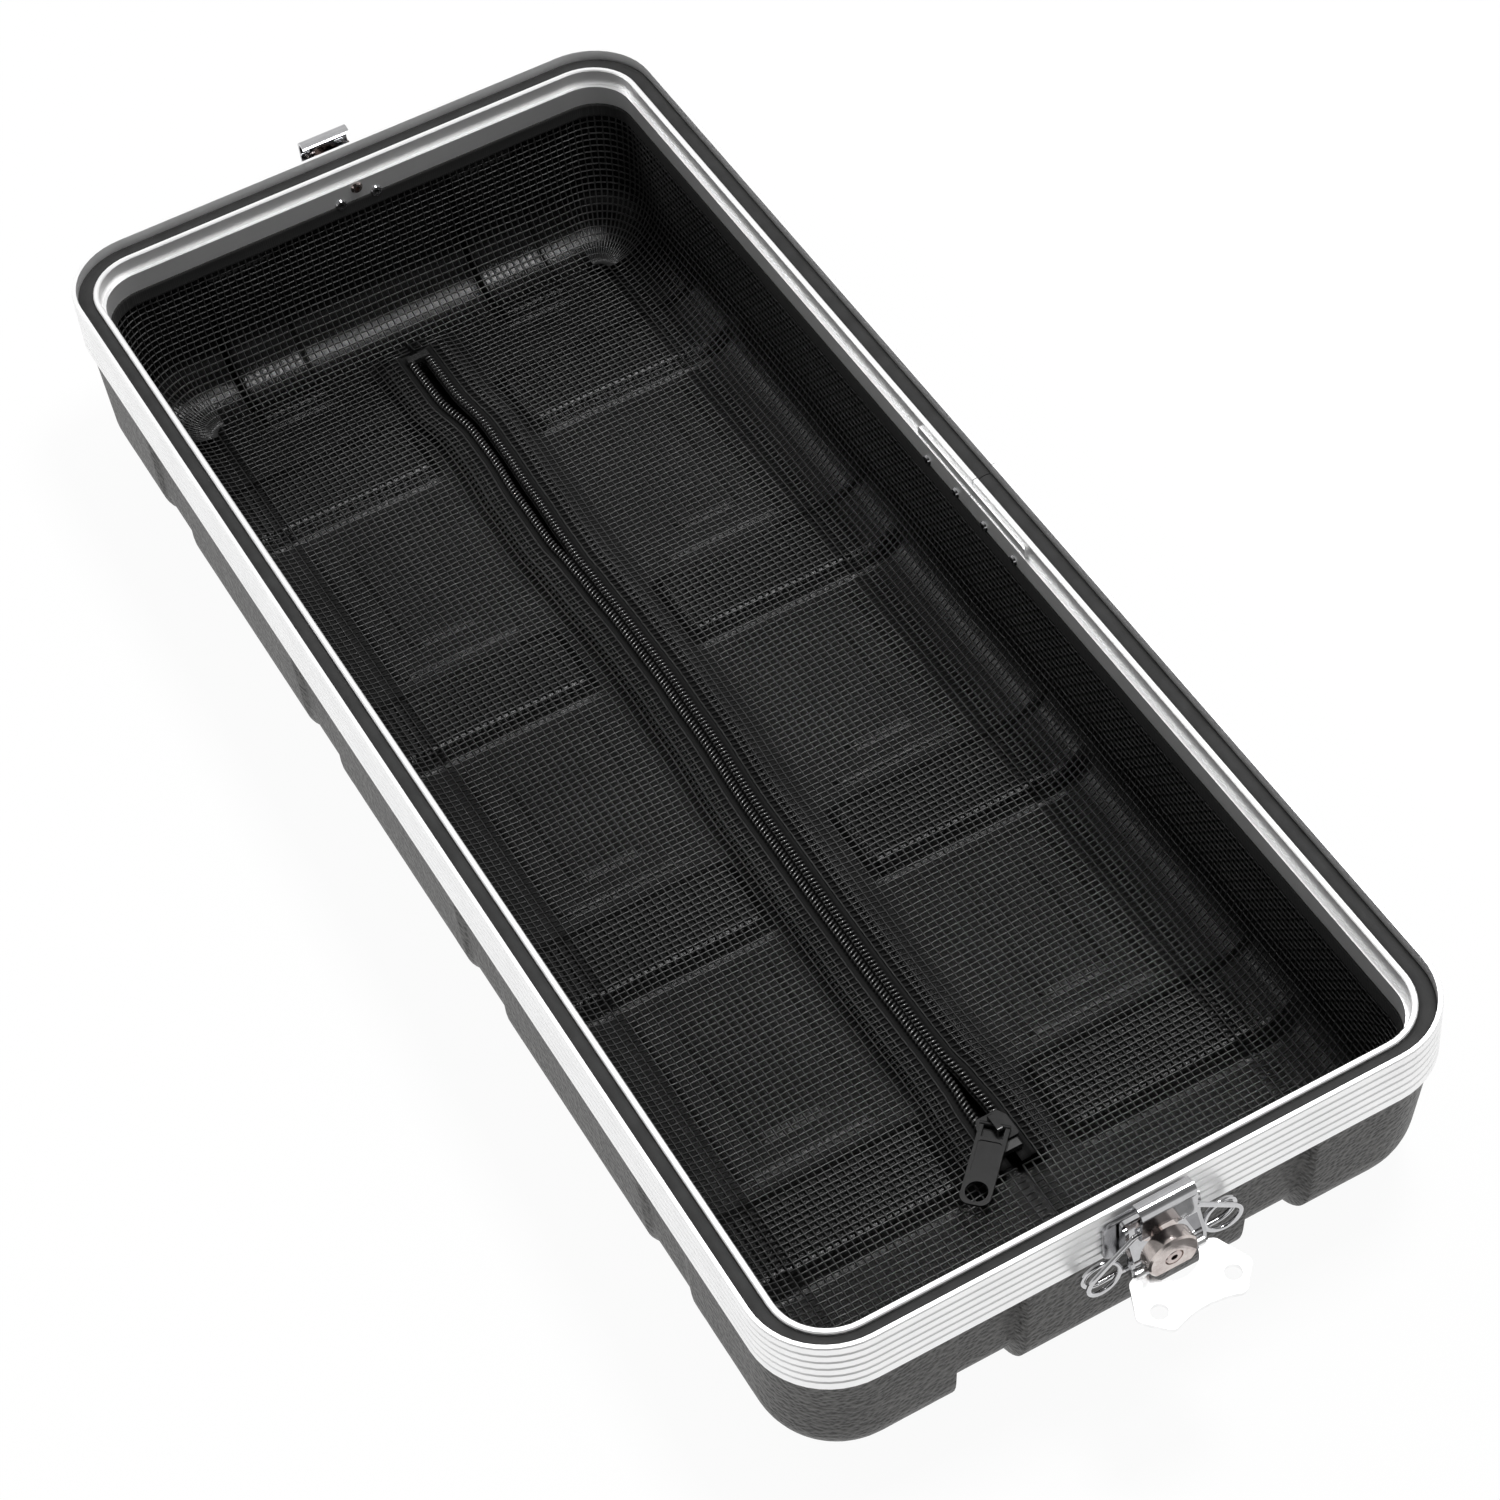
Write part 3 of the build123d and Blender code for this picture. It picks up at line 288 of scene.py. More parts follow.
class Strands:
    """Collects thin three-sided strands along lists of points with the surface's normals."""

    def __init__(self):
        self.verts = []
        self.faces = []
        self.caps = []
        self.count = 0

    def add(self, points, normals, width=strand_width, height=strand_height, closed=False):
        if closed:
            tangent = np.roll(points, -1, 0) - np.roll(points, 1, 0)
        else:
            tangent = np.gradient(points, axis=0)
        side = unit(np.cross(normals, tangent), 1)
        section = (
            points - side * width / 2 - normals * height / 2,
            points + side * width / 2 - normals * height / 2,
            points + normals * height / 2,
        )
        base = self.count + 3 * np.arange(len(points))
        ahead = np.roll(base, -1)
        if not closed:
            first, last = int(base[0]), int(base[-1])
            self.caps += [[first + 2, first + 1, first], [last, last + 1, last + 2]]
            base, ahead = base[:-1], ahead[:-1]
        for k in range(3):
            other = (k + 1) % 3
            self.faces.append(np.stack([base + k, base + other, ahead + other, ahead + k], axis=1))
        self.verts.append(np.stack(section, axis=1).reshape(-1, 3))
        self.count += 3 * len(points)

    def piece(self, name):
        faces = np.concatenate(self.faces).tolist() + self.caps
        return make_mesh(name, np.concatenate(self.verts), faces)


def net_height(x, y):
    """Height of the loose net, which sags between the ribs, ripples and lies on the tapes."""
    open_bay = clamp((min(abs(x - rib) for rib in rib_places) - rib_half) / bay_ease)
    to_end = net_half_length - net_edge_radius - abs(x)
    to_side = net_half_width - net_edge_radius - abs(y)
    edge = max(0.0, min(1.0, to_end / end_ease, to_side / side_ease))
    sag = net_sag * open_bay * edge
    wave = uneven(x / ripple_length, y / ripple_length * ripple_squeeze, ripple_layer)
    ripple = ripple_height * wave * edge
    zip_line = zip_middle + (row_line(x, 1) + row_line(x, -1)) / 2
    away = abs(y - zip_line)
    lift = smooth(1.0 - clamp((away - tape_show - tape_hidden) / lift_ease))
    beside_zip = 1.0
    if not zip_start - stop_margin < x < zip_end + stop_margin:
        beside_zip = max(0.0, 1 - min(abs(x - zip_start), abs(x - zip_end)) / stop_ease)
    level = net_floor - sag + ripple
    return level + (tape_top + tape_clearance - level) * lift * beside_zip


def net_point(x, y, sign):
    """A point of the flat net on the side that sign gives, moved with the zip's wander."""
    away = sign * (y - zip_middle) - row_rest - tape_show
    shift = row_line(x, sign) - sign * row_rest
    pull = min(1.0, smooth(max(0.0, 1 - away / pull_reach)))
    drift_x = drift_x_size * uneven(x / drift_x_length, y / drift_x_length, drift_x_layer)
    wave = uneven(x / drift_y_lengths[0], y / drift_y_lengths[1], drift_y_layer)
    drift_y = drift_y_size * wave * clamp(away / drift_ease)
    moved_y = y + shift * pull + drift_y
    return x + drift_x, moved_y, net_height(x, moved_y)


def wall_profile(share, draft):
    """How far in from the hem and how high the wall lies; share runs from the floor to the hem."""
    quarter = net_edge_radius * pi / 2
    along = share * (quarter + (net_rise - net_edge_radius))
    if along < quarter:
        angle = along / net_edge_radius
        z = net_edge_radius * (1 - cos(angle))
        inward = net_edge_radius * (1 - sin(angle))
    else:
        z = net_edge_radius + along - quarter
        inward = 0.0
    return inward + draft * (1 - z / net_rise), z


def wall_ring(share):
    """Points round the net at a level, with their directions outward, and their height."""
    in_x, z = wall_profile(share, net_end_draft)
    in_y, _ = wall_profile(share, net_side_draft)
    a = net_half_length - in_x
    b = net_half_width - in_y
    depth = 1 - z / net_rise
    fillet_in = in_x - net_end_draft * depth
    widening = net_edge_radius + net_flat_corner - net_top_corner
    r = net_top_corner + widening * depth - fillet_in
    extra_x, extra_y = a - r - straight_x, b - r - straight_y
    arc = r * pi / 2
    total = extra_x + arc + extra_y
    corner = []
    for n in range(1, count_corner):
        s = n / count_corner * total
        if s < extra_y:
            corner.append((a, straight_y + s, 1.0, 0.0))
        elif s < extra_y + arc:
            t = (s - extra_y) / r
            corner.append((a - r + r * cos(t), b - r + r * sin(t), cos(t), sin(t)))
        else:
            corner.append((straight_x + total - s, b, 0.0, 1.0))
    ends = [(a, -straight_y + 2 * straight_y * n / count_y, 1.0, 0.0) for n in range(count_y + 1)]
    sides = [(straight_x - 2 * straight_x * n / count_x, b, 0.0, 1.0) for n in range(count_x + 1)]
    half = ends + corner + sides + [(-x, y, -nx, ny) for x, y, nx, ny in reversed(corner)]
    return np.array(half + [(-x, -y, -nx, -ny) for x, y, nx, ny in half]), z


def net_walls():
    """The draped skirt: level rings, and strands up the walls that gather at the corners."""
    levels = []
    for n in range(wall_rings + 1):
        share = n / wall_rings
        ring, z = wall_ring(share)
        x, y, out_x, out_y = ring.T
        swell = [uneven(u / swell_length, v / swell_length, z / swell_rise) for u, v in zip(x, y)]
        out = wall_swell * np.array(swell) * sin(pi * share)
        heights = np.full_like(x, net_floor + z)
        levels.append(np.stack([x + out_x * out, y + out_y * out, heights], 1))
    grid = np.array(levels)
    around = np.roll(grid, -1, 1) - np.roll(grid, 1, 1)
    normal = unit(np.cross(np.gradient(grid, axis=0), around), 2)
    weave = weave_lift * (1 - 2 * (np.indices(grid.shape[:2]).sum(0) % 2))
    made = Strands()
    for n in range(1, wall_rings + 1):
        made.add(grid[n] + normal[n] * weave[n][:, None], normal[n], closed=True)
    for m in range(grid.shape[1]):
        made.add(grid[:, m] - normal[:, m] * weave[:, m][:, None], normal[:, m])
    return made.piece("net_walls")


def net_floor_half(sign, name):
    """One half of the flat net, whose edge is folded under beside the tape."""
    made = Strands()
    xs = np.linspace(-flat_x, flat_x, count_x + 1)
    edge = zip_middle + sign * (row_rest + tape_show)
    count = round((flat_y - sign * edge) / pitch_y)
    ys = np.linspace(sign * flat_y, edge, count + 1)

    def lay(places, lift, phase, share=1.0):
        points = np.array([net_point(x, y, sign) for x, y in places])
        points[:, 2] += lift + weave_lift * (1 - 2 * ((np.arange(len(points)) + phase) % 2))
        upward = np.tile((0.0, 0.0, 1.0), (len(points), 1))
        made.add(points, upward, strand_width * share, strand_height * share)

    def is_open(x):
        return zip_start - slit_margin < x < zip_end + slit_margin

    for j, y in enumerate(ys):
        lay([(x, y) for x in xs], 0.0, j)
    for i, x in enumerate(xs):
        far_side = [] if is_open(x) else [zip_middle]
        lay([(x, y) for y in (*ys, *far_side)], 0.0, i + 1)
    past_zip = [x for x in xs if not is_open(x)]
    for closed_part in ([x for x in past_zip if x < 0], [x for x in past_zip if x > 0]):
        for j, y in enumerate(np.linspace(edge, zip_middle, 3)[1:]):
            if len(closed_part) > 1 and (sign > 0 or y != zip_middle):
                lay([(x, y) for x in closed_part], 0.0, j + count + 1)
    beside = [x + pitch_x / 2 for x in xs if is_open(x) and is_open(x + pitch_x)]
    folds = edge + sign * (np.linspace(fold_start, fold_end, fold_lines) - tape_show)
    for j, y in enumerate(folds):
        lay([(x, y) for x in beside], -fold_drop, j, fold_share)
    for i, x in enumerate(beside):
        lay([(x, y) for y in folds], -fold_drop, i + 1, fold_share)
    return made.piece(name)


def wire_mesh(name, points):
    """The coil's round wire along points in millimetres."""
    tangent = np.gradient(points, axis=0)
    tangent /= np.linalg.norm(tangent, axis=1)[:, None]
    side = unit(np.array((1.0, 0.0, 0.0)) - tangent * tangent[:, :1], 1)
    other = np.cross(tangent, side)
    rings = []
    for k in range(coil_sides):
        angle = 2 * pi * k / coil_sides
        rings.append(points + coil_wire * (cos(angle) * side + sin(angle) * other))
    count = len(points) * coil_sides
    faces = []
    for start in range(0, count - coil_sides, coil_sides):
        end = start + coil_sides
        for k in range(coil_sides):
            m = (k + 1) % coil_sides
            faces.append((start + k, start + m, end + m, end + k))
    faces.append(tuple(reversed(range(coil_sides))))
    faces.append(tuple(range(count - coil_sides, count)))
    return make_mesh(name, np.stack(rings, 1).reshape(-1, 3), faces)


def coil(sign, name):
    """One row of the zip: a flattened helix whose turns lie across the tape."""
    start, end = zip_start + coil_margin, zip_end - coil_margin
    points = []
    for n in range(int((end - start) / coil_pitch) * coil_steps + 1):
        turns = n / coil_steps
        x = start + turns * coil_pitch
        angle = 2 * pi * turns
        across, rise = (np.sign(f) * abs(f) ** coil_squareness for f in (cos(angle), sin(angle)))
        y = zip_middle + row_line(x, sign) + coil_half_width * across
        z = tape_top - tape_dip + coil_wire + coil_half_height * (1 + rise)
        points.append((x + sign * coil_slant * across, y, z))
    return wire_mesh(name, np.array(points))


def tape(sign, name):
    """One woven tape, with a thickness, that follows its row and runs in under the net."""
    stations = np.linspace(zip_start - tape_margin, zip_end + tape_margin, tape_stations)
    dipped = coil_half_width + coil_wire
    hidden = (tape_show + tape_hidden * 0.5, tape_show + tape_hidden)
    across = (-dipped, 0.0, dipped, dipped + tape_step, tape_show, *hidden)
    top = []
    for x in stations:
        middle = zip_middle + row_line(x, sign)
        for off in across:
            if off <= dipped:
                height = tape_top - tape_dip
            elif off <= tape_show:
                dip = tape_uneven * uneven(x / tape_uneven_length, off, sign * tape_layer)
                height = tape_top - tape_level + dip
            else:
                height = tape_top - flap_level - flap_droop * (off - tape_show) / tape_hidden
            top.append((x, middle + sign * off, height))
    verts = np.concatenate([top, top - np.array((0.0, 0.0, tape_thickness))])
    m, n, below = len(across), len(stations), len(top)
    faces = []

    def add(corners, turned):
        faces.append(tuple(reversed(corners)) if turned else corners)

    for i in range(n - 1):
        for k in range(m - 1):
            a, d = i * m + k, (i + 1) * m + k
            add((a, a + 1, d + 1, d), sign > 0)
            add((a + below, a + 1 + below, d + 1 + below, d + below), sign < 0)
        for k in (0, m - 1):
            a, d = i * m + k, (i + 1) * m + k
            add((a, d, d + below, a + below), (k == 0) != (sign > 0))
    for i in (0, n - 1):
        for a in range(i * m, i * m + m - 1):
            add((a, a + 1, a + 1 + below, a + below), (i == 0) != (sign > 0))
    return make_mesh(name, verts, faces)


def hem_ring():
    """Points round the rim's leg with their directions outward."""
    high = highs("net_hem")
    r = net_top_corner
    reach_x, reach_y = high.x - r, high.y - r
    centres = ((reach_x, reach_y), (-reach_x, reach_y), (-reach_x, -reach_y), (reach_x, -reach_y))
    ring = []
    for quarter, (x, y) in enumerate(centres):
        start = 90 * quarter
        for n in range(hem_arc_steps + 1):
            t = radians(start + 90 * n / hem_arc_steps)
            ring.append((x + r * cos(t), y + r * sin(t), cos(t), sin(t)))
        out_x, out_y = cos(radians(start + 90)), sin(radians(start + 90))
        from_x, from_y = ring[-1][:2]
        next_x, next_y = centres[(quarter + 1) % 4]
        to_x, to_y = next_x + r * round(out_x), next_y + r * round(out_y)
        steps = hem_short_steps if quarter % 2 else hem_long_steps
        for n in range(1, steps):
            s = n / steps
            ring.append((from_x + (to_x - from_x) * s, from_y + (to_y - from_y) * s, out_x, out_y))
    return ring


def hem_band():
    """The net's bound edge on the rim's leg, slightly uneven, with a rolled lower edge."""
    top, foot = highs("net_hem").z, lows("net_hem").z
    section = [(inward, top + up, 0.0) for inward, up in hem_upper]
    section += [(inward, foot + up, 1.0) for inward, up in hem_lower]
    ring = hem_ring()
    verts = []
    for x, y, out_x, out_y in ring:
        wave = hem_wave * uneven(x / hem_wave_length, y / hem_wave_length, hem_wave_layer)
        drop = hem_drop * uneven(x / hem_drop_length, y / hem_drop_length, hem_drop_layer)
        for inward, z, loose in section:
            push = inward + (wave if inward > hem_fixed else 0.0)
            verts.append((x - out_x * push, y - out_y * push, z + drop * loose))
    m, n = len(section), len(ring)
    faces = []
    for i in range(n):
        here, ahead = i * m, (i + 1) % n * m
        for k in range(m):
            other = (k + 1) % m
            faces.append((here + k, ahead + k, ahead + other, here + other))
    return make_mesh("net_binding", verts, faces)


def link(tree, source, target):
    tree.links.new(source, target)


def material(name):
    """New node material with its tree and its Principled shader."""
    made = bpy.data.materials.new(name)
    made.use_nodes = True
    return made, made.node_tree, made.node_tree.nodes["Principled BSDF"]


def settle(shader, **values):
    """Constant values on the shader's own sockets."""
    names = {
        "metallic": "Metallic",
        "rough": "Roughness",
        "specular": "Specular IOR Level",
        "sheen": "Sheen Weight",
    }
    for key, value in values.items():
        shader.inputs[names[key]].default_value = value


def math_node(tree, operation, first, second):
    """Math node on sockets or numbers; gives its output."""
    made = tree.nodes.new("ShaderNodeMath")
    made.operation = operation
    for place, value in enumerate((first, second)):
        if isinstance(value, float):
            made.inputs[place].default_value = value
        else:
            link(tree, value, made.inputs[place])
    return made.outputs[0]


def vector_node(tree, operation, first, second=None):
    """Vector math node on a socket and a vector or another socket; gives its outputs."""
    made = tree.nodes.new("ShaderNodeVectorMath")
    made.operation = operation
    link(tree, first, made.inputs[0])
    if isinstance(second, tuple):
        made.inputs[1].default_value = second
    elif second is not None:
        link(tree, second, made.inputs[1])
    return made.outputs


def split(tree, vector):
    """Outputs X, Y and Z of a vector."""
    made = tree.nodes.new("ShaderNodeSeparateXYZ")
    link(tree, vector, made.inputs[0])
    return made.outputs


def joined(tree, **parts):
    """A vector out of sockets for some of X, Y and Z."""
    made = tree.nodes.new("ShaderNodeCombineXYZ")
    for axis, value in parts.items():
        link(tree, value, made.inputs[axis])
    return made.outputs[0]


def bump_from(tree, shader, height, strength, distance, rounding=0.0):
    """Bump into the shader, over edges that the rounding softens in millimetres."""
    made = tree.nodes.new("ShaderNodeBump")
    made.inputs["Strength"].default_value = strength
    made.inputs["Distance"].default_value = distance
    link(tree, height, made.inputs["Height"])
    if rounding:
        soft = tree.nodes.new("ShaderNodeBevel")
        soft.samples = bevel_samples
        soft.inputs["Radius"].default_value = rounding * MM
        link(tree, soft.outputs["Normal"], made.inputs["Normal"])
    link(tree, made.outputs["Normal"], shader.inputs["Normal"])


def noise_texture(tree, coordinate, scale, detail=2.0, rough=0.5):
    """Noise from 0 to 1 at a coordinate."""
    made = tree.nodes.new("ShaderNodeTexNoise")
    made.inputs["Scale"].default_value = scale
    made.inputs["Detail"].default_value = detail
    made.inputs["Roughness"].default_value = rough
    link(tree, coordinate, made.inputs["Vector"])
    return made.outputs["Fac"]


def ramp(tree, factor, low, high, at=(0.35, 0.65)):
    """Colour between two colours as the factor goes from the first to the second place in at."""
    made = tree.nodes.new("ShaderNodeValToRGB")
    for stop, place, colour in zip(made.color_ramp.elements, at, (low, high)):
        stop.position = place
        stop.color = (*colour, 1.0)
    link(tree, factor, made.inputs["Fac"])
    return made.outputs["Color"]


def colour_mix(tree, factor, first, second):
    """First colour where the factor is 0, second where it is 1."""
    made = tree.nodes.new("ShaderNodeMix")
    made.data_type = "RGBA"
    places = {place.identifier: place for place in made.inputs}
    link(tree, factor, places["Factor_Float"])
    link(tree, first, places["A_Color"])
    link(tree, second, places["B_Color"])
    return next(place for place in made.outputs if place.identifier == "Result_Color")


def map_range(tree, value, way="LINEAR", **limits):
    """Map range node; its limits are named from_min, from_max, to_min and to_max."""
    made = tree.nodes.new("ShaderNodeMapRange")
    made.interpolation_type = way
    for key, number in limits.items():
        made.inputs[key.replace("_", " ").title()].default_value = number
    link(tree, value, made.inputs["Value"])
    return made.outputs["Result"]


def tint(tree, shader, factor, low, high, at=(0.35, 0.65)):
    """Base colour between two colours, by a factor."""
    link(tree, ramp(tree, factor, low, high, at), shader.inputs["Base Color"])


def polish(tree, shader, factor, low, high):
    """Roughness between two values, by a factor."""
    spread = map_range(tree, factor, to_min=low, to_max=high)
    link(tree, spread, shader.inputs["Roughness"])


def grey(value):
    return (value, value, value)


def object_place(tree):
    return tree.nodes.new("ShaderNodeTexCoord").outputs["Object"]


def pebbled_plastic():
    """Moulded shell: coarse pebbled grain outside, smoother and glossier inside, its inside painted
    far darker as shade.
    """
    made, tree, shader = material("pebbled_plastic")
    settle(shader, specular=0.24)
    place = object_place(tree)
    geometry = tree.nodes.new("ShaderNodeNewGeometry")
    outward = vector_node(tree, "SUBTRACT", place, (0.0, 0.0, shell_eye))
    facing = vector_node(tree, "DOT_PRODUCT", outward[0], geometry.outputs["True Normal"])
    inside = math_node(tree, "LESS_THAN", facing["Value"], 0.0)
    outside = math_node(tree, "SUBTRACT", 1.0, inside)
    cells = tree.nodes.new("ShaderNodeTexVoronoi")
    cells.feature = "SMOOTH_F1"
    cells.inputs["Scale"].default_value = pebble_scale
    link(tree, place, cells.inputs["Vector"])
    fine = noise_texture(tree, place, scale=1500.0, detail=3.0, rough=0.6)
    pebbles = math_node(tree, "MULTIPLY", cells.outputs["Distance"], outside)
    relief = math_node(tree, "ADD", pebbles, math_node(tree, "MULTIPLY", fine, grain_share))
    bump_from(tree, shader, relief, strength=1.0, distance=0.00055, rounding=3.0)
    mottled = noise_texture(tree, place, scale=35.0, detail=4.0, rough=0.6)
    spread = math_node(tree, "MULTIPLY", mottled, mottle_share)
    # Painted shade in the pebbles' hollows: the outer colour darkens where their relief is low,
    # with random mottling over it.
    pebble_shade_and_mottle = math_node(tree, "ADD", cells.outputs["Distance"], spread)
    outer = ramp(tree, pebble_shade_and_mottle, (0.022, 0.021, 0.020), (0.078, 0.076, 0.072), at=(0.38, 0.92))
    # Painted shade: the inner faces get a far darker base than the same plastic outside.
    inner = ramp(tree, mottled, grey(0.003), grey(0.006))
    link(tree, colour_mix(tree, inside, outer, inner), shader.inputs["Base Color"])
    dulling = math_node(tree, "MULTIPLY", outside, outer_dulling)
    link(tree, math_node(tree, "ADD", dulling, inner_rough), shader.inputs["Roughness"])
    return made


def profile_place(tree):
    """Coordinates that follow the rim's section, with the way along it scaled down."""
    place = object_place(tree)
    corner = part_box("rim_extrusion")[1]
    core = (corner.x - rim_corner * MM, corner.y - rim_corner * MM, 0.0)
    folded = vector_node(tree, "ABSOLUTE", place)
    beyond = vector_node(tree, "SUBTRACT", folded[0], core)
    clipped = split(tree, vector_node(tree, "MAXIMUM", beyond[0], (0.0, 0.0, 0.0))[0])
    plain = split(tree, place)
    out = vector_node(tree, "LENGTH", joined(tree, X=clipped["X"], Y=clipped["Y"]))
    along = math_node(tree, "ADD", plain["X"], plain["Y"])
    stretched = math_node(tree, "MULTIPLY", along, draw_stretch)
    return joined(tree, X=out["Value"], Y=plain["Z"], Z=stretched)


def satin_aluminium():
    """Anodised extrusion, with draw lines along it and fine variation."""
    made, tree, shader = material("satin_aluminium")
    settle(shader, metallic=0.8)
    lines = noise_texture(tree, profile_place(tree), scale=6500.0, detail=3.0, rough=0.7)
    cloudy = noise_texture(tree, object_place(tree), scale=60.0, detail=3.0)
    tint(tree, shader, cloudy, grey(0.93), grey(0.97))
    polish(tree, shader, lines, low=0.32, high=0.46)
    bump_from(tree, shader, lines, strength=0.15, distance=0.00003)
    return made


def woven_tape(name, low, high):
    """Fine black weave, herringbone by two waves, with painted shade in its low parts."""
    made, tree, shader = material(name)
    place = object_place(tree)
    settle(shader, specular=0.14, sheen=0.04)
    heights = []
    for direction in ("X", "Y"):
        wave = tree.nodes.new("ShaderNodeTexWave")
        wave.bands_direction = direction
        wave.inputs["Scale"].default_value = weave_scale
        wave.inputs["Distortion"].default_value = weave_distortion
        link(tree, place, wave.inputs["Vector"])
        heights.append(wave.outputs["Fac"])
    weave = math_node(tree, "MULTIPLY", *heights)
    # Painted shade: the colour darkens where the weave's relief is low.
    tint(tree, shader, weave, grey(low), grey(high), at=(0.1, 0.9))
    polish(tree, shader, weave, low=0.7, high=0.9)
    bump_from(tree, shader, weave, strength=0.5, distance=0.00012)
    return made


def grained(name, colours, wide, fine, rough, bump, rough_by_fine=False, **values):
    """Colour from a wide noise, relief from a fine one and roughness from either of them."""
    made, tree, shader = material(name)
    settle(shader, **values)
    place = object_place(tree)
    tone = noise_texture(tree, place, **wide)
    grain = noise_texture(tree, place, **fine)
    tint(tree, shader, tone, *colours)
    polish(tree, shader, grain if rough_by_fine else tone, *rough)
    bump_from(tree, shader, grain, **bump)
    return made


def black_rubber():
    """Dull foam rubber of the gasket."""
    return grained(
        "foam_rubber",
        colours=(grey(0.012), grey(0.020)),
        wide=dict(scale=120.0, detail=3.0),
        fine=dict(scale=2200.0, detail=3.0, rough=0.7),
        rough=(0.55, 0.8),
        bump=dict(strength=0.5, distance=0.0001),
        rough_by_fine=True,
        specular=0.35,
    )


def coated_mesh():
    """Vinyl coated strands of the net."""
    return grained(
        "coated_mesh",
        colours=(grey(0.022), grey(0.034)),
        wide=dict(scale=25.0, detail=3.0),
        fine=dict(scale=900.0),
        rough=(0.24, 0.38),
        bump=dict(strength=0.3, distance=0.00008),
        rough_by_fine=True,
        specular=0.32,
    )


def black_plastic(name, low, high, rough, specular):
    """Glossy black nylon or paint with faint wear."""
    return grained(
        name,
        colours=(grey(low), grey(high)),
        wide=dict(scale=320.0, detail=4.0, rough=0.6),
        fine=dict(scale=2400.0),
        rough=[rough * share for share in plastic_rough],
        bump=dict(strength=0.35, distance=0.00005),
        specular=specular,
    )


def chrome(name, base, rough, light=None):
    """Bright plated metal with faint polish marks."""
    return grained(
        name,
        colours=(base, light or tuple(min(1.0, c * chrome_lift) for c in base)),
        wide=dict(scale=260.0, detail=4.0, rough=0.65),
        fine=dict(scale=1500.0),
        rough=[rough * share for share in chrome_rough],
        bump=dict(strength=0.08, distance=0.00002),
        metallic=1.0,
    )


rim_look = satin_aluminium()
mesh_look = coated_mesh()
hem_look = woven_tape("hem_cloth", low=0.012, high=0.022)
tape_look = woven_tape("zip_cloth", low=0.003, high=0.008)
coil_look = black_plastic("coil_nylon", low=0.018, high=0.028, rough=0.16, specular=0.9)
puller_look = black_plastic("zip_paint", low=0.006, high=0.010, rough=0.34, specular=0.2)
slider_look = black_plastic("slider_paint", low=0.006, high=0.011, rough=0.2, specular=0.4)
plate_look = chrome("plate_nickel", (0.46, 0.46, 0.47), rough=0.09)
base_look = chrome("base_nickel", (0.32, 0.32, 0.33), rough=0.2)
wire_look = chrome("wire_nickel", (0.52, 0.52, 0.53), rough=0.06)
rivet_look = chrome("rivet_nickel", (0.46, 0.46, 0.47), rough=0.12)
pivot_look = chrome("pivot_nickel", (0.44, 0.37, 0.35), rough=0.14, light=(0.58, 0.50, 0.48))
drum_look = chrome("drum_nickel", (0.50, 0.44, 0.42), rough=0.12, light=(0.66, 0.60, 0.57))
# Painted light: the handles' nickel is far lighter than the other nickel parts, standing for the
# strong light on their tops.
handle_painted_light_look = chrome("handle_nickel_painted_light", (0.88, 0.88, 0.88), rough=0.2)

looks = {
    "shell": pebbled_plastic(),
    "rim_extrusion": rim_look,
    "splice_plate": rim_look,
    "splice_bar": rim_look,
    "splice_rivets": rivet_look,
    "gasket": black_rubber(),
    "zip_end_stops": coil_look,
    "zip_slider": slider_look,
    "zip_puller": puller_look,
    "base_plate": base_look,
    "base_rivets": rivet_look,
    "pivot_rivet": pivot_look,
    "drum": drum_look,
    "link_plate": plate_look,
    "hook_plate": plate_look,
    "claw_spring": wire_look,
    "handle": handle_painted_light_look,
    "handle_pin": wire_look,
}


def dress(piece, look):
    piece.data.materials.clear()
    piece.data.materials.append(look)


for name, look in looks.items():
    for full in (name, "near_" + name, "far_" + name):
        if full in nodes:
            dress(nodes[full], look)

# Soft pieces: each with its look, the CAD node that it stands for and its slot
skirt = net_walls()
left = net_floor_half(-1, "net_floor_left")
right = net_floor_half(1, "net_floor_right")
coil_left = coil(-1, "coil_row_left")
coil_right = coil(1, "coil_row_right")
tape_left = tape(-1, "tape_left")
tape_right = tape(1, "tape_right")
binding = hem_band()
for piece, look, stood_for, slot in (
    (skirt, mesh_look, "net_side_skirt", "net_mesh"),
    (left, mesh_look, "net_left_panel", "net_mesh"),
    (right, mesh_look, "net_right_panel", "net_mesh"),
    (coil_left, coil_look, "zip_coil_left", "zip_coil_plastic"),
    (coil_right, coil_look, "zip_coil_right", "zip_coil_plastic"),
    (tape_left, tape_look, "zip_tape_left", "zip_cloth"),
    (tape_right, tape_look, "zip_tape_right", "zip_cloth"),
    (binding, hem_look, "net_hem", "net_hem_cloth"),
):
    dress(piece, look)
    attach(piece, "case")
    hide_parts(stood_for)


def area_light(name, place, size, power):
    """Rectangular light that faces the origin."""
    data = bpy.data.lights.new(name, "AREA")
    data.shape = "RECTANGLE"
    data.size, data.size_y = size
    data.energy = power
    lamp = bpy.data.objects.new(name, data)
    bpy.context.scene.collection.objects.link(lamp)
    lamp.location = place
    lamp.rotation_mode = "QUATERNION"
    lamp.rotation_quaternion = (Vector() - Vector(place)).to_track_quat("-Z", "Y")


def seen_rays(tree):
    """1 where the camera sees the floor, itself or in metal or glass."""
    paths = tree.nodes.new("ShaderNodeLightPath").outputs
    either = math_node(tree, "MAXIMUM", paths["Is Camera Ray"], paths["Is Glossy Ray"])
    return math_node(tree, "MAXIMUM", either, paths["Is Transmission Ray"])


def eased(tree, value, span, low, high):
    """Low before the span, high after it, and smooth between them."""
    limits = {"from_min": span[0], "from_max": span[1], "to_min": low, "to_max": high}
    return map_range(tree, value, "SMOOTHSTEP", **limits)


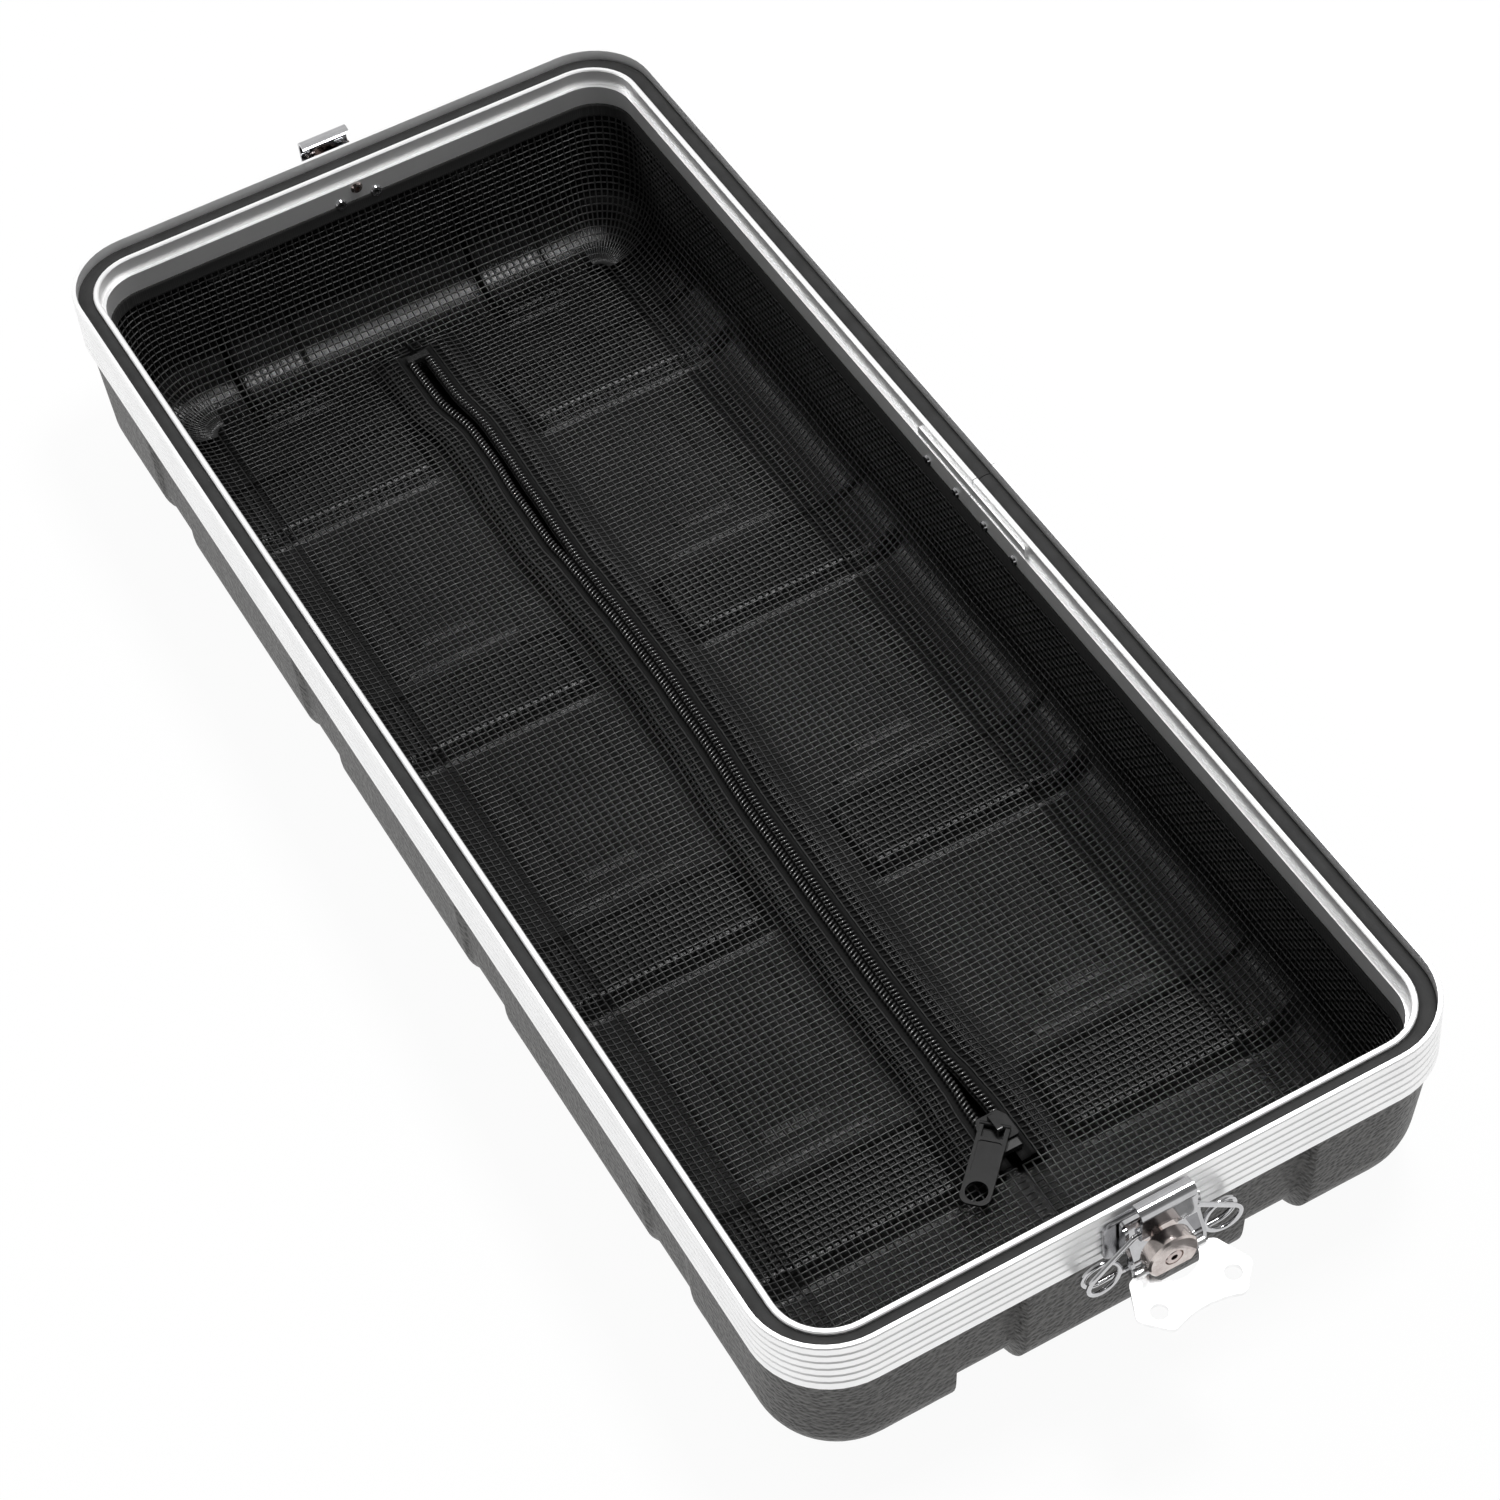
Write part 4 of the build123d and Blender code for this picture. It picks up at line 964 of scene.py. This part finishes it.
def studio_dome():
    """White walls low down, a bright field high behind the object and a dim room in front of it."""
    world = bpy.data.worlds.new("studio")
    bpy.context.scene.world = world
    world.use_nodes = True
    tree = world.node_tree
    way = tree.nodes.new("ShaderNodeTexCoord").outputs["Generated"]
    to_field = vector_node(tree, "DOT_PRODUCT", way, bright_way)["Value"]
    to_room = vector_node(tree, "DOT_PRODUCT", way, dim_way)["Value"]
    field = eased(tree, to_field, field_span, dome_level, field_level)
    room = eased(tree, to_room, room_span, 1.0, room_share)
    wall = eased(tree, split(tree, way)["Z"], wall_span, 1.0, 0.0)
    open_sky = math_node(tree, "MULTIPLY", field, room)
    kept = math_node(tree, "MULTIPLY", open_sky, math_node(tree, "SUBTRACT", 1.0, wall))
    background = tree.nodes["Background"]
    background.inputs["Color"].default_value = white
    link(tree, math_node(tree, "ADD", kept, wall), background.inputs["Strength"])


def pale_floor():
    """White floor that shows near white to the camera and keeps a faint shadow."""
    mesh = bpy.data.meshes.new("floor")
    signs = ((-1, -1), (1, -1), (1, 1), (-1, 1))
    corners = [(x * floor_half, y * floor_half, floor_height) for x, y in signs]
    mesh.from_pydata(corners, [], [(0, 1, 2, 3)])
    floor = bpy.data.objects.new("floor", mesh)
    bpy.context.scene.collection.objects.link(floor)
    made, tree, shader = material("floor_white")
    shader.inputs["Base Color"].default_value = (*grey(floor_tone), 1.0)
    settle(shader, rough=0.9, specular=0.0)
    glow = tree.nodes.new("ShaderNodeEmission")
    glow.inputs["Color"].default_value = white
    glow.inputs["Strength"].default_value = 1.0
    mix = tree.nodes.new("ShaderNodeMixShader")
    link(tree, math_node(tree, "MULTIPLY", seen_rays(tree), floor_glow), mix.inputs["Fac"])
    link(tree, shader.outputs[0], mix.inputs[1])
    link(tree, glow.outputs[0], mix.inputs[2])
    link(tree, mix.outputs[0], tree.nodes["Material Output"].inputs["Surface"])
    mesh.materials.append(made)


studio_dome()
pale_floor()
for light in lights:
    area_light(*light)

camera_data = bpy.data.cameras.new("photo_camera")
camera_data.sensor_width = camera_sensor
camera_data.lens = camera_lens
camera_data.clip_start, camera_data.clip_end = camera_clip
camera = bpy.data.objects.new("photo_camera", camera_data)
bpy.context.scene.collection.objects.link(camera)
camera_right = camera_look.cross(camera_up)
turn = Matrix((camera_right, camera_up, -camera_look)).transposed().to_4x4()
place = camera_place + Vector((0, 0, tongue_top))
camera.matrix_world = Matrix.Translation(place * MM) @ turn
bpy.context.scene.camera = camera
bpy.context.scene.view_settings.view_transform = "Standard"
